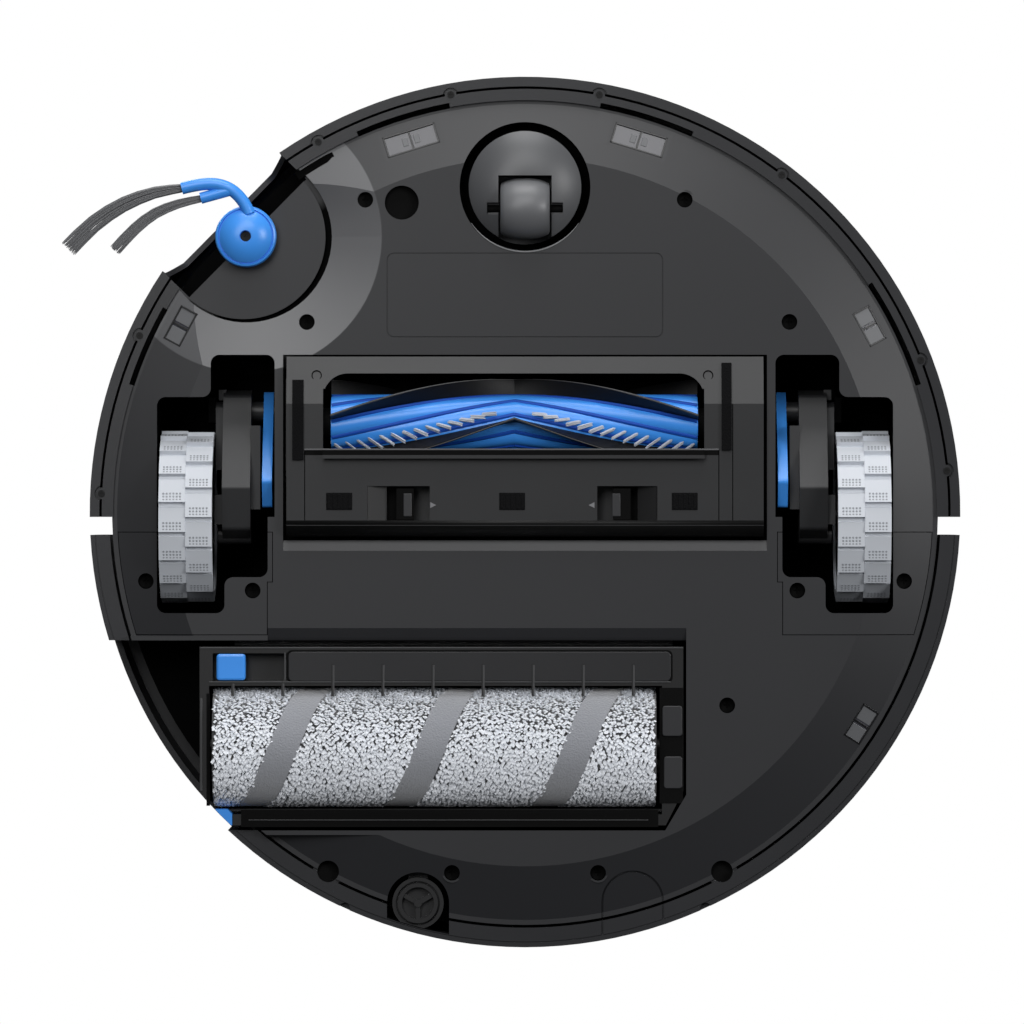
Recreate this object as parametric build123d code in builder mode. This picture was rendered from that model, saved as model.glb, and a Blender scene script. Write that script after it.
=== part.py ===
from build123d import *
from math import atan2, cos, degrees, hypot, radians, sin, sqrt
import os

# Robot vacuum with a roller mop, in millimetres. +Z is up and z = 0 is the floor. The robot's front
# is -Y, and the Z axis is the axis of its round body.

os.makedirs("parts", exist_ok=True)

# ---------------------------------------------------------------------------- driving dimensions

# Fits
seam = 0.3  # gap between shells that don't move against each other
running = 0.05  # radial gap of a shaft in its bore
slide_gap = 0.25  # gap beside a sliding piece

# Round body
body_radius = 176.5
skin_wall = 2.5
skirt_z = 15.2  # underside of the skirt
skirt_straight_z = 60.0  # above this the skirt leans in
skirt_top_z = 79.8
skirt_lean = 2.0
belly_z = 11.0  # flat underside
belly_wall = 2.6
bumper_room = 9.0  # from the body's outside to the chassis
rim_width = 2.0  # flat rim outside the bevel
bevel_width = 22.0
flange_z = 16.9  # height of the flat rim
chassis_radius = body_radius - bumper_room
bevel_radius = chassis_radius - rim_width
flat_radius = bevel_radius - bevel_width
chassis_wall = 2.2
deck_z = 74.0  # top of the chassis wall
deck_thick = 2.8
boss_radius = 4.0

# Screws
screw_head_radius = 2.9
screw_shank_radius = 1.5
screw_length = 9.0
cross_reach = 0.45  # arm of the cross slot, as a share of the head's radius
cross_half = 0.3
cross_depth = 0.8
screw_sink = 3.7  # how deep a head lies below the surface

# Bumper
bumper_end_y = 2.0
side_notch = 7.3  # open gap between the bumper's ends and the rear shell
retainer_width = 4.6
retainer_inner = chassis_radius - 0.5  # just under the chassis rim
retainer_outer = retainer_inner + retainer_width
retainer_thick = 1.2
bumper_lip = 3.8
lip_gap = 1.0  # open seam between the ring and the bumper's lip
ear_radius = 2.3
ear_tab = 1.6  # wall of the bumper's tab round an ear's screw
tab_reach = 0.9  # how far a tab reaches in over the ring
ledge_low_z = 77.2  # ledge at the bumper's top that closes the room behind it
ledge_thick = 1.4
ledge_inner = 168.0
ear_bearings = [-87.5, -65.4, -29.2, -10.1, 10.1, 37.3, 69.0, 84.4]
slot_bearings = [(-72.1, -60.5), (-23.9, -10.5), (10.5, 23.9), (56.5, 72.1)]
slot_inner = bevel_radius + 1.0
slot_outer = 168.7
window_half_angle = 14.0
window_low_z = 38.0
window_high_z = 56.0

# Side brush at the front left corner
side_inset = 17.75  # from the body's outside in to the brush's shaft
side_bearing = -45.38
side_x = (body_radius - side_inset) * sin(radians(side_bearing))
side_y = -(body_radius - side_inset) * cos(radians(side_bearing))
side_deck_radius = 34.7  # hole in the middle of the cone
side_disc_radius = 33.3
side_disc_shift = 1.2  # the disc lies this much to the left of the shaft
side_groove_z = 18.4  # roof of the groove round the disc
side_recess_radius = 54.9
side_recess_depth = 4.0
arch_top_z = 52.0
arch_back = body_radius - 18.5  # straight outer edge of the disc and of the wall behind the arch
arch_flat = body_radius - 5.3  # the bumper is flattened to this distance over the arch
arch_edge = body_radius - 3.3  # the flat ends at this distance
chassis_flat = chassis_radius - 1.7  # the chassis and the deck are flattened behind it
hub_radius = 12.4
hub_low_z = 3.6
hub_high_z = 12.6
hub_screw_radius = 2.1
stem_radius = 2.5
stem_z = 7.4
side_shaft_radius = 3.0

# Caster
caster_inset = 44.9  # from the body's outside in to the swivel's axis
caster_y = caster_inset - body_radius
caster_well_radius = 26.5
caster_well_z = 30.4  # roof of the well
swivel_radius = 22.8
swivel_top_z = 29.0
swivel_edge_z = 13.0  # where the dome starts
swivel_low_z = 7.0
caster_stem_radius = 4.0
caster_stem_top_z = 44.0
caster_trail = 8.7
caster_wheel_radius = 12.5
caster_wheel_width = 20.0
caster_axle_radius = 1.5
caster_axle_half = 15.2
axle_slot_half = 2.4

# Main brush bay
bay_half_x = 98.0
bay_front_y = -63.7
bay_rear_y = 11.5
bay_wall = 1.6
brush_y = -36.0
brush_z = 19.0
brush_center_x = -4.3
brush_length = 148.6
brush_core_radius = 10.6
flap_radius = 17.8
flap_count = 4
chamber_left_x = -89.0
chamber_right_x = 79.0
chamber_front_y = -58.0
chamber_rear_y = -14.0
chamber_top_z = 39.4
shelf_z = 21.0  # roof of the shallow part behind the chamber
journal_radius = 5.0

# Brush cover
cover_z = 6.0
cover_thick = 2.4
cover_half_x = 96.5
cover_front_y = -62.9
cover_rear_y = 5.5
cover_ramp_z = 9.8  # the cover's front edge; from here it slopes down
cover_ramp_y = -43.8
cover_rim_z = 13.6  # top of the rim that stands up inside the bay
cover_rim_wall = 1.6
mouth_left_x = -81.7
mouth_right_x = 72.5
mouth_front_y = -56.1
lip_tip_y = -25.1  # lower edge of the curved lip that wraps the brush from behind
lip_clearance = 0.4
lip_wall = 1.4
latch_left = (-63.7, -38.5)
latch_right = (29.2, 53.5)
latch_front_y = -10.5
latch_rear_y = 4.1
latch_travel = 5.0
latch_width = 7.0
latch_roof_z = 17.0
bolt_length = 5.4
bolt_half_width = 2.5
bolt_low_z = 13.2
bolt_high_z = 15.2
seal_left = (-94.1, -89.6, -53.5, -21.1)
seal_right = (79.5, 83.5, -60.4, -25.1)
seal_drop = 1.5  # how far the seals stand out of the cover

# Drive wheels and their swing arms, given for the right side
wheel_x = 137.3
wheel_y = 2.0
wheel_z = 35.0
tyre_width = 21.5
tyre_inner_radius = 30.0
tyre_root_radius = 33.0
lug_count = 18
axle_radius = 3.0
pivot_y = -41.0
pivot_z = 42.0
trunnion_radius = 4.0
arm_inner_x = 111.5
arm_outer_x = 122.9
arm_boss_radius = 3.7
bracket_inner_x = 126.2
bracket_thick = 2.8
motor_radius = 7.4
lever_inner_x = 102.6
lever_outer_x = 106.6
housing_wall = 1.8
housing_top_z = 73.6
well_inner_x = 101.4
well_middle_x = 127.3
well_outer_x = 149.2
well_front_y = -63.7
well_step_y = 26.4
well_jog_y = 2.0
well_corner = 3.5
tyre_well_front_y = -46.6
tyre_well_rear_y = 41.0
plate_inner_x = 104.2
plate_front_y = 8.0
plate_rear_y = 49.9

# Mop bay and roller
mop_bay_front_y = 52.0
mop_bay_rear_y = 129.0
mop_bay_right_x = 65.3
mop_bay_top_z = 59.5
mop_bay_wall = 1.8
mop_corner = 8.5
frame_left_x = -131.8
frame_right_x = 64.1
frame_front_y = 54.6
frame_rear_y = 126.9
frame_bottom_z = 11.5
frame_top_z = 44.0
channel_rear_y = 70.4  # rear face of the frame's front channel, beside the roller
channel_top_z = 40.0
frame_end_wall = 3.8
frame_radius = body_radius - 2.5
hood_radius = 26.2
hood_wall = 1.0
rear_bar_y = 122.5
rear_bar_top_z = 22.0
roller_journal_radius = 5.0
release_slot = (-126.5, -96.1)
release_y = (57.2, 68.5)
release_width = 11.8
tab_y = 120.4
lifter_ribs = [-95.0, 35.0]  # X of the ribs that guide the lifter in the bay's front wall
lifter_rib = 6.0
lifter_rib_depth = 1.3
lifter_wall = 1.8
lifter_low_z = 22.0
lifter_high_z = 50.0
rail_low_z = 32.0
rail_high_z = 36.0
roller_y = 95.5
roller_radius = 24.5
roller_z = 24.8
roller_left_x = -126.5
roller_right_x = 53.1
roller_core_radius = 15.0
comb_teeth = 9

# Top, bin and tower
cover_top_z = 88.0
cover_gap = 0.4
cover_seam = 1.5  # round seam between the cover and the bumper's top edge
turret_y = -26.0
turret_radius = 38.0
turret_top_z = 103.0
bin_half_x = 74.0
bin_front_y = 14.5
bin_rear_y = 47.5
bin_top_z = 71.0
bin_wall = 1.8
start_y = -112.0
start_radius = 9.0

# Details of the shells
rear_flange = 5.0  # how far the rear shell's flange lies on the upper deck
lip_seam_radius = body_radius - 2.3
rim_notch_bearing = 24.5
vent_count = 9
vent_bearing = 118.0
vent_pitch = 3.2
vent_low_z = 34.0
vent_high_z = 56.0
rear_gap = 1.1  # dark seam between the underside and the rear shell's lip
arch_corner = 12.0
bumper_screw_radius = 0.8
bumper_screw_head = 1.4
side_gear_radius = 14.0
side_gear_offset = 7.6  # the gearbox lies inwards of the shaft, clear of the chassis wall
side_gear_height = 12.0
side_motor_radius = 8.0
side_motor_height = 22.0
tuft_tip_z = 0.6

# Side brush arm and tufts, as places from the shaft
stem_course = [(1.4, -9.2), (-1.5, -14.7), (-5.8, -18.8), (-11.8, -21.0), (-17.9, -21.0), (-25.9, -19.4)]
branch_from = (-5.8, -18.8)
branch_to = (-18.2, -15.4)
long_tuft = [(-26.3, -19.45), (-49.9, -12.5), (-72.6, 5.5)]
long_tuft_widths = (3.2, 6.5)  # at its root and at its tip
short_tuft = [(-18.9, -15.1), (-36.8, -8.7), (-52.8, 6.1)]
short_tuft_widths = (2.8, 4.0)

caster_clearance = 0.8
arm_low_y = -10.1
arm_low_z = 14.5
arm_top_z = 54.0
lever_low_y = -12.6
lever_low_z = 12.5
motor_y = -21.0
motor_length = 30.0
motor_seat = 2.5
spring_y = 0.0
spring_radius = 4.0
spring_wire = 0.6
spring_turns = 5
rim_wall = 2.5
tyre_radius = wheel_z  # the wheel stands on the floor
lug_drop = 1.2
head_spindle = 4.0
deck_windows = [(-100.0, -60.0, 22.0), (100.0, -60.0, 22.0), (0.0, -110.0, 16.0)]

gear_left_x = -96.8
gear_right_x = -90.8
gear_low_z = 11.0
neck_front_y = -33.0
neck_rear_y = -17.0
brush_motor_radius = 8.0
brush_motor_z = 50.0
brush_motor_length = 42.0
board_z = 46.0
board_thick = 1.6
board_half_x = 80.0
board_front_y = -60.0
board_rear_y = -36.0

lifter_left_x = -118.0
lifter_right_x = 60.0
rail_reach = 2.2
tab_width = 7.0
tab_right_x = tab_width - sqrt(frame_radius**2 - tab_y**2)
hood_left_x = -112.0
comb_left_x = -118.4
comb_pitch = 20.28
comb_front_y = 61.5
short_comb_front_y = 69.7  # the two teeth beside the release slot start here
comb_reach_y = 74.5
flap_thick = 1.2
bristle_thick = 1.8
flap_twist = 86.0
flap_start = 174.0  # direction of the first flap at the brush's middle
bristle_start = 226.0
bristle_lean = 30.0
end_ring_radius = 14.8
end_ring_width = 3.2
mouth_corner = 10.0

battery_half_x = 58.0
battery_front_y = -102.0
battery_rear_y = -67.0
battery_top_z = 56.0
fan_x = 103.0
fan_y = 84.0
fan_radius = 30.0
fan_wall = 1.6
fan_lift = 14.0  # height of its feet
fan_top_z = 64.0
fan_spindle = 2.0
duct_left_x = 74.6
duct_right_x = 97.0
duct_front_y = 15.0
duct_low_z = 30.0
duct_high_z = 58.0
tank_left_x = -150.0
tank_right_x = 66.0
tank_wall = 1.5
dirty_left_x = -24.0
dirty_right_x = 46.0
dirty_rear_y = 154.0
dirty_low_z = 29.0
pump_left_x = -68.0
pump_right_x = -46.0
pump_rear_y = 146.0
pump_low_z = 26.0
bin_mouth_half_x = 55.0
duct_half_x = 55.0
dust_low_z = 24.2
dust_high_z = 37.0
bay_bevel = 4.2
mop_bevel = 5.0
bevel_depth = 1.6
filter_thick = 6.0
carpet_height = 9.0
turret_low_z = 90.0
turret_high_z = 99.0
cover_wall = 2.2

# Cliff sensor windows: bearing, inset from the body's outside, width along the rim, width across it
cliff_rows = [
    (-17.03, 18.78, 21.9, 8.9),
    (17.03, 18.78, 21.9, 8.9),
    (-61.64, 17.75, 15.2, 7.9),
    (61.64, 17.75, 15.2, 7.9),
    (122.23, 15.25, 15.2, 7.9),
]
cliff_sink = 0.5
cliff_glass = 2.0
cliff_cup = 5.4  # depth of the cup behind each window

# Round features of the underside
carpet_x = -49.9
carpet_y = -125.3
carpet_radius = 6.9
carpet_depth = 4.0
carpet_flange = 1.8
carpet_lift = 0.5  # the flange clears the start of the bevel
dock_inset = 10.3  # from the body's outside in to the socket's axis
dock_bearing = 28.72  # either side of the rear
dock_x = (body_radius - dock_inset) * sin(radians(dock_bearing))
dock_y = (body_radius - dock_inset) * cos(radians(dock_bearing))
dock_radius = 4.4
dock_depth = 9.0
port_inset = 12.07
port_bearing = 15.3
port_x = -(body_radius - port_inset) * sin(radians(port_bearing))
port_y = (body_radius - port_inset) * cos(radians(port_bearing))
port_radius = 10.4
port_core_radius = 8.1
port_gap = 2.2  # width of the arched gap round the port
port_room_z = 27.0  # roof of the room round the port

# Label field: a fine groove round the place of the rating plate
label_half_x = 56.0
label_front_y = -105.0
label_rear_y = -70.6
groove = 0.5

# Plain arch groove beside the port's notch
blank_x = 43.7
blank_y = 158.0
blank_radius = 12.7
blank_depth = 1.0
blank_groove = 0.8

# ------------------------------------------------------------------------------ shared geometry


def on_circle(radius, bearing):
    """Point on a circle round the Z axis; bearing 0 is the front, and positive is towards +X."""
    return (radius * sin(radians(bearing)), -radius * cos(radians(bearing)))


def belly_height(x, y):
    """Height of the underside at a place, outside the side brush recess."""
    share = (hypot(x, y) - flat_radius) / (bevel_radius - flat_radius)
    return belly_z + (flange_z - belly_z) * min(max(share, 0), 1)


def recess_height(x, y):
    """Height of the underside in the cone round the side brush."""
    share = (side_recess_radius - hypot(x - side_x, y - side_y)) / (side_recess_radius - side_deck_radius)
    return belly_z + side_recess_depth * min(max(share, 0), 1)


def ring_sector(inner, outer, start, end):
    """Plan of the part of a ring between two bearings."""
    with BuildSketch(mode=Mode.PRIVATE) as plan:
        with BuildLine():
            near = CenterArc((0, 0), inner, start - 90, end - start)
            far = CenterArc((0, 0), outer, start - 90, end - start)
            Line(near @ 0, far @ 0)
            Line(near @ 1, far @ 1)
        make_face()
    return plan.sketch


def plan_box(x0, x1, y0, y1, within=400):
    """Rectangle in plan, given by its edges and clipped to a radius round the Z axis."""
    with BuildSketch(mode=Mode.PRIVATE) as plan:
        with Locations(((x0 + x1) / 2, (y0 + y1) / 2)):
            Rectangle(abs(x1 - x0), abs(y1 - y0))
        Circle(within, mode=Mode.INTERSECT)
    return plan.sketch


def block(x0, x1, y0, y1, z0, z1):
    """Box given by its faces."""
    place = Pos((x0 + x1) / 2, (y0 + y1) / 2, (z0 + z1) / 2)
    return place * Box(abs(x1 - x0), abs(y1 - y0), z1 - z0, mode=Mode.PRIVATE)


def post(x, y, radius, z0, z1):
    """Upright cylinder given by its ends."""
    return Pos(x, y, (z0 + z1) / 2) * Cylinder(radius, z1 - z0, mode=Mode.PRIVATE)


def countersink(x, y, low_radius, high_radius, z0, z1):
    """Upright cone given by its ends."""
    return Pos(x, y, (z0 + z1) / 2) * Cone(low_radius, high_radius, z1 - z0, mode=Mode.PRIVATE)


def bar(x0, x1, y, z, radius):
    """Cylinder along X given by its ends."""
    return Pos((x0 + x1) / 2, y, z) * Rot(0, 90, 0) * Cylinder(radius, abs(x1 - x0), mode=Mode.PRIVATE)


def under_body(outer, top_z):
    """Everything between the underside and a level, out to a radius: flat, bevel and rim."""
    with BuildPart(mode=Mode.PRIVATE) as body:
        with BuildSketch(Plane.XZ):
            with BuildLine():
                Polyline(
                    (0, belly_z),
                    (flat_radius, belly_z),
                    (bevel_radius, flange_z),
                    (outer, flange_z),
                    (outer, top_z),
                    (0, top_z),
                    close=True,
                )
            make_face()
        revolve(axis=Axis.Z)
    return body.part


def belly_skin(outer):
    """The underside's own wall, flat, bevel and rim."""
    with BuildPart(mode=Mode.PRIVATE) as skin:
        with BuildSketch(Plane.XZ):
            with BuildLine():
                Polyline(
                    (0, belly_z),
                    (flat_radius, belly_z),
                    (bevel_radius, flange_z),
                    (outer, flange_z),
                    (outer, flange_z + belly_wall),
                    (bevel_radius, flange_z + belly_wall),
                    (flat_radius, belly_z + belly_wall),
                    (0, belly_z + belly_wall),
                    close=True,
                )
            make_face()
        revolve(axis=Axis.Z)
    return skin.part


def skirt(lip_inner, lip_height):
    """The robot's outer wall all round, with the flat lip at its foot."""
    with BuildPart(mode=Mode.PRIVATE) as wall:
        with BuildSketch(Plane.XZ):
            with BuildLine():
                Polyline(
                    (lip_inner, skirt_z),
                    (body_radius, skirt_z),
                    (body_radius, skirt_straight_z),
                    (body_radius - skirt_lean, skirt_top_z),
                    (body_radius - skirt_lean - skin_wall, skirt_top_z),
                    (body_radius - skin_wall, skirt_straight_z),
                    (body_radius - skin_wall, skirt_z + lip_height),
                    (lip_inner, skirt_z + lip_height),
                    close=True,
                )
            make_face()
        revolve(axis=Axis.Z)
    return wall.part


def screw(x, y, z, length=screw_length, head=screw_head_radius, shank=screw_shank_radius):
    """Countersunk cross-head screw, its head down, flush at z."""
    body = countersink(x, y, head, shank, z, z + head - shank)
    body += post(x, y, shank, z + head - shank, z + length)
    body -= block(x - cross_reach * head, x + cross_reach * head, y - cross_half, y + cross_half, z - 1,
                  z + cross_depth)
    return body - block(x - cross_half, x + cross_half, y - cross_reach * head, y + cross_reach * head, z - 1,
                        z + cross_depth)


def surface_plane(x, y, height):
    """Plane on the bevel, facing out of the underside, its X axis along the rim."""
    slope = atan2(flange_z - belly_z, bevel_radius - flat_radius)
    reach = hypot(x, y)
    normal = (x / reach * sin(slope), y / reach * sin(slope), -cos(slope))
    return Plane(origin=(x, y, height), x_dir=(-y, x, 0), z_dir=normal)


bumper_screw_places = [on_circle(retainer_outer + 0.3, bearing) for bearing in ear_bearings]
cliff_windows = [(*on_circle(body_radius - inset, bearing), along, across)
                 for bearing, inset, along, across in cliff_rows]
stem_bore_radius = caster_stem_radius + running
screw_cone = screw_head_radius - screw_shank_radius
hub_bearing = side_bearing
arch_half_width = side_deck_radius - 1.0
arch_flat_half = arch_half_width - 8.0
flange_inner_z = flange_z + belly_wall
belly_inner_z = belly_z + belly_wall
rear_shell_y = bumper_end_y + side_notch
housing_outline = [
    (well_inner_x, well_front_y),
    (well_middle_x, well_front_y),
    (well_middle_x, tyre_well_front_y),
    (well_outer_x, tyre_well_front_y),
    (well_outer_x, tyre_well_rear_y),
    (well_middle_x - 5.6, tyre_well_rear_y),
    (well_middle_x - 5.6, well_step_y),
    (plate_inner_x, well_step_y),
    (plate_inner_x, well_jog_y),
    (well_inner_x, well_jog_y),
]

# Screw places, by what they go through
belly_screws = [(-64.7, -126.5), (64.7, -126.5), (107.1, -77.0), (-29.6, 146.2), (29.6, 146.2), (81.9, 78.3)]
recess_screws = [(-88.4, -77.0)]
plate_screws = [(153.7, 28.0), (110.3, 31.2 + 0.6)]

# ----------------------------------------------------------------------------------- the chassis


def mop_bay_plan(grow):
    """Plan of the mop bay, open to the left, grown by a wall."""
    with BuildSketch(mode=Mode.PRIVATE) as plan:
        with BuildLine():
            Polyline(
                (-body_radius, mop_bay_front_y - grow),
                (mop_bay_right_x + grow, mop_bay_front_y - grow),
                (mop_bay_right_x + grow, mop_bay_rear_y - 1.7 * mop_corner),
                (mop_bay_right_x + grow - mop_corner, mop_bay_rear_y + grow),
                (-body_radius, mop_bay_rear_y + grow),
                close=True,
            )
        make_face()
    return plan.sketch


def housing_plan(grow, side):
    """Plan of one wheel well, grown by a wall; side is 1 on the right and -1 on the left."""
    with BuildSketch(mode=Mode.PRIVATE) as plan:
        with BuildLine():
            Polyline(*[(side * x, y) for x, y in housing_outline], close=True)
        make_face()
        if grow > 0:
            offset(amount=grow, kind=Kind.INTERSECTION)
        else:
            fillet([corner for corner in vertices() if abs(corner.Y - well_jog_y) > 0.1], well_corner)
    return plan.sketch


def port_notch_plan(within):
    """Plan of the arched notch round the water port, open towards the rim."""
    half = port_radius + port_gap
    with BuildSketch(mode=Mode.PRIVATE) as plan:
        with Locations((port_x, port_y)):
            Circle(half)
        add(plan_box(port_x - half, port_x + half, port_y, body_radius))
        Circle(within, mode=Mode.INTERSECT)
    return plan.sketch


def arch_point(along, out):
    """Place given along the side brush arch and outwards from the Z axis."""
    turn = radians(hub_bearing)
    return (out * sin(turn) + along * cos(turn), -out * cos(turn) + along * sin(turn))


def arch_prism(points, z0, z1):
    """Upright prism whose outline is given in the arch's own directions."""
    with BuildPart(mode=Mode.PRIVATE) as prism:
        with BuildSketch(Plane.XY.offset(z0)):
            with BuildLine():
                Polyline(*[arch_point(along, out) for along, out in points], close=True)
            make_face()
        extrude(amount=z1 - z0)
    return prism.part


def arch_slab(half, near, far, z0, z1):
    """Straight slab across the arch."""
    return arch_prism([(-half, near), (half, near), (half, far), (-half, far)], z0, z1)


def edge_bevel(x0, x1, open_y, far_y):
    """Wedge that bevels a belly edge from far_y down into the opening at open_y."""
    middle_y = (open_y + far_y) / 2
    reach = far_y - open_y
    wedge = block(x0, x1, open_y - reach, far_y, belly_z - 2 * bevel_depth, belly_z + bevel_depth)
    tilt = degrees(atan2(bevel_depth, reach)) if reach > 0 else -degrees(atan2(bevel_depth, -reach))
    keep = Pos((x0 + x1) / 2, middle_y, belly_z + bevel_depth / 2) * Rot(-tilt, 0, 0)
    lower = Box(abs(x1 - x0) + 2, 6 * abs(reach), 6 * abs(reach),
                align=(Align.CENTER, Align.CENTER, Align.MAX),
                mode=Mode.PRIVATE)
    return wedge & keep * lower


def surface_block(x, y, along, across, out, into):
    """Block square to the bevel, reaching out of the underside's surface and into it."""
    place = surface_plane(x, y, belly_height(x, y)) * Pos(0, 0, (out - into) / 2)
    return place * Box(along, across, out + into, mode=Mode.PRIVATE)


def screw_hole(x, y, z):
    """Counterbore, countersink and pilot hole for one screw whose head lies at z."""
    hole = post(x, y, screw_head_radius + seam, z - 12, z)
    hole += countersink(x, y, screw_head_radius + running, screw_shank_radius + running, z, z + screw_cone)
    return hole + post(x, y, screw_shank_radius + running, z + screw_cone, z + screw_length + 0.5)


# Where each chassis screw's head lies
screw_places = [(x, y, belly_height(x, y) + screw_sink) for x, y in belly_screws]
screw_places += [(x, y, recess_height(x, y) + screw_sink) for x, y in recess_screws]
plate_screw_places = [(x, y, belly_height(x, y) + screw_sink) for x, y in plate_screws]

# Room behind the side brush arch, except the boss that the brush turns in
gear_x = side_x + side_gear_offset
gear_y = side_y + side_gear_offset
gear_top_z = flange_z + belly_wall + side_gear_height
hub_boss = post(side_x, side_y, hub_radius - 1.4, 0, gear_top_z + chassis_wall)
arch_room = arch_slab(arch_half_width, arch_back, body_radius + 5, 0, arch_top_z) - hub_boss
arch_shell = arch_slab(arch_half_width + chassis_wall, arch_back - chassis_wall, chassis_radius, flange_z,
                       arch_top_z + chassis_wall)
arch_shell &= post(0, 0, chassis_radius, 0, deck_z)
arch_shell += arch_slab(arch_half_width, chassis_flat - chassis_wall, chassis_flat, arch_top_z, deck_z)
chassis_beyond_flat = arch_slab(arch_half_width, chassis_flat, chassis_radius + 1, 0, deck_z + deck_thick)

# Bodies that stand on the underside's inner face
pad_top_z = flange_z + belly_wall
pad = under_body(chassis_radius, pad_top_z) & post(side_x, side_y, side_recess_radius + running, 0, deck_z)
chassis_bosses = [pad, arch_shell & post(0, 0, chassis_radius, 0, deck_z)]
chassis_bosses.append(post(0, caster_y, caster_well_radius + belly_wall, belly_z, caster_well_z + belly_wall)
                      & under_body(chassis_radius, deck_z))
chassis_bosses.append(post(0, caster_y, caster_stem_radius + 4, caster_well_z, caster_stem_top_z))
chassis_bosses.append(block(-bay_half_x - bay_wall, bay_half_x + bay_wall, bay_front_y - bay_wall,
                            bay_rear_y + bay_wall, belly_z, shelf_z + bay_wall))
chassis_bosses.append(block(-bay_half_x - bay_wall, chamber_right_x + bay_wall, chamber_front_y - bay_wall,
                            chamber_rear_y + bay_wall, belly_z, chamber_top_z + bay_wall))
chassis_bosses.append(block(-duct_half_x - bay_wall, duct_half_x + bay_wall, chamber_rear_y,
                            bin_front_y - seam,
                            dust_low_z - bay_wall, dust_high_z + bay_wall))
for x, y, z in screw_places:
    chassis_bosses.append(post(x, y, boss_radius, z - screw_sink + 0.5, z + screw_length + 2))
for x in (-dock_x, dock_x):
    dock_boss = post(x, dock_y, dock_radius + 1.8, belly_z, belly_z + dock_depth + 7)
    chassis_bosses.append(dock_boss & under_body(chassis_radius - 0.1, deck_z))
    chassis_bosses.append(dock_boss & block(-body_radius, body_radius, 0, body_radius,
                                            skirt_z + skin_wall + seam, deck_z))
for x, y, along, across in cliff_windows:
    chassis_bosses.append(surface_block(x, y, along + 3, across + 3, -0.1, cliff_cup))

# What is cut out of them
chassis_cuts = [post(side_x, side_y, side_deck_radius, 0, flange_z), arch_room, chassis_beyond_flat]
chassis_cuts.append(post(side_x, side_y, side_deck_radius, 0, side_groove_z)
                    - post(side_x, side_y, side_disc_radius - side_disc_shift - 1, 0, side_groove_z))
chassis_cuts.append(post(gear_x, gear_y, side_gear_radius + slide_gap, pad_top_z, gear_top_z))
chassis_cuts.append(countersink(side_x, side_y, side_recess_radius, side_deck_radius, belly_z,
                                belly_z + side_recess_depth))
chassis_cuts.append(post(side_x, side_y, side_deck_radius - 6, 0, pad_top_z + 1))
chassis_cuts.append(post(0, caster_y, caster_well_radius, 0, caster_well_z))
chassis_cuts.append(post(0, caster_y, stem_bore_radius, 0, deck_z))
chassis_cuts.append(block(-bay_half_x, bay_half_x, bay_front_y, bay_rear_y, 0, belly_z + 3))
chassis_cuts.append(block(-bay_half_x, chamber_left_x - bay_wall, chamber_front_y, chamber_rear_y, 0,
                          chamber_top_z))
chassis_cuts.append(block(-bay_half_x, gear_right_x + slide_gap, neck_front_y - slide_gap,
                          neck_rear_y + slide_gap,
                          0, deck_z))
chassis_cuts.append(block(chamber_right_x + bay_wall, bay_half_x, bay_front_y, bay_rear_y, 0, shelf_z))
chassis_cuts.append(block(-bay_half_x, bay_half_x, chamber_rear_y + bay_wall, bay_rear_y, 0, shelf_z))
chassis_cuts.append(bar(chamber_left_x - 2 * bay_wall, chamber_right_x + 3 * bay_wall, brush_y, brush_z,
                        journal_radius + running))
chassis_cuts.append(block(chamber_left_x, chamber_right_x, chamber_front_y, chamber_rear_y, 0, chamber_top_z))
chassis_cuts.append(block(-duct_half_x, duct_half_x, chamber_rear_y - 1, bin_front_y, dust_low_z,
                          dust_high_z))
chassis_cuts.append(edge_bevel(-bay_half_x, bay_half_x, bay_rear_y, bay_rear_y + bay_bevel))
chassis_cuts.append(edge_bevel(-plate_inner_x, mop_bay_right_x, mop_bay_front_y, mop_bay_front_y - mop_bevel))
chassis_cuts.append(post(carpet_x, carpet_y, carpet_radius, 0, belly_inner_z + 4))
blank_plan = post(blank_x, blank_y, blank_radius, 0, deck_z)
blank_plan += block(blank_x - blank_radius, blank_x + blank_radius, blank_y, body_radius, 0, deck_z)
blank_core = post(blank_x, blank_y, blank_radius - blank_groove, 0, deck_z)
blank_core += block(blank_x - blank_radius + blank_groove, blank_x + blank_radius - blank_groove, blank_y,
                    body_radius + 1, 0, deck_z)
blank_line = (blank_plan - blank_core) & post(0, 0, lip_seam_radius, 0, deck_z)
chassis_cuts.append(blank_line - Pos(0, 0, blank_depth) * under_body(chassis_radius + 1, deck_z))
for x, y, z in screw_places:
    chassis_cuts.append(screw_hole(x, y, z))
for x, y, along, across in cliff_windows:
    chassis_cuts.append(surface_block(x, y, along + 2 * running, across + 2 * running, 4,
                                      cliff_sink + cliff_glass))
    chassis_cuts.append(surface_block(x, y, along - 3, across - 3, 4, cliff_cup + 1))
for x in (-dock_x, dock_x):
    chassis_cuts.append(post(x, dock_y, dock_radius, 0, belly_z + dock_depth + 5.4))
for x in lifter_ribs:
    chassis_cuts.append(block(x - lifter_rib / 2 - slide_gap, x + lifter_rib / 2 + slide_gap,
                              mop_bay_front_y - lifter_rib_depth, mop_bay_front_y, frame_bottom_z + 8,
                              mop_bay_top_z))

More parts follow.
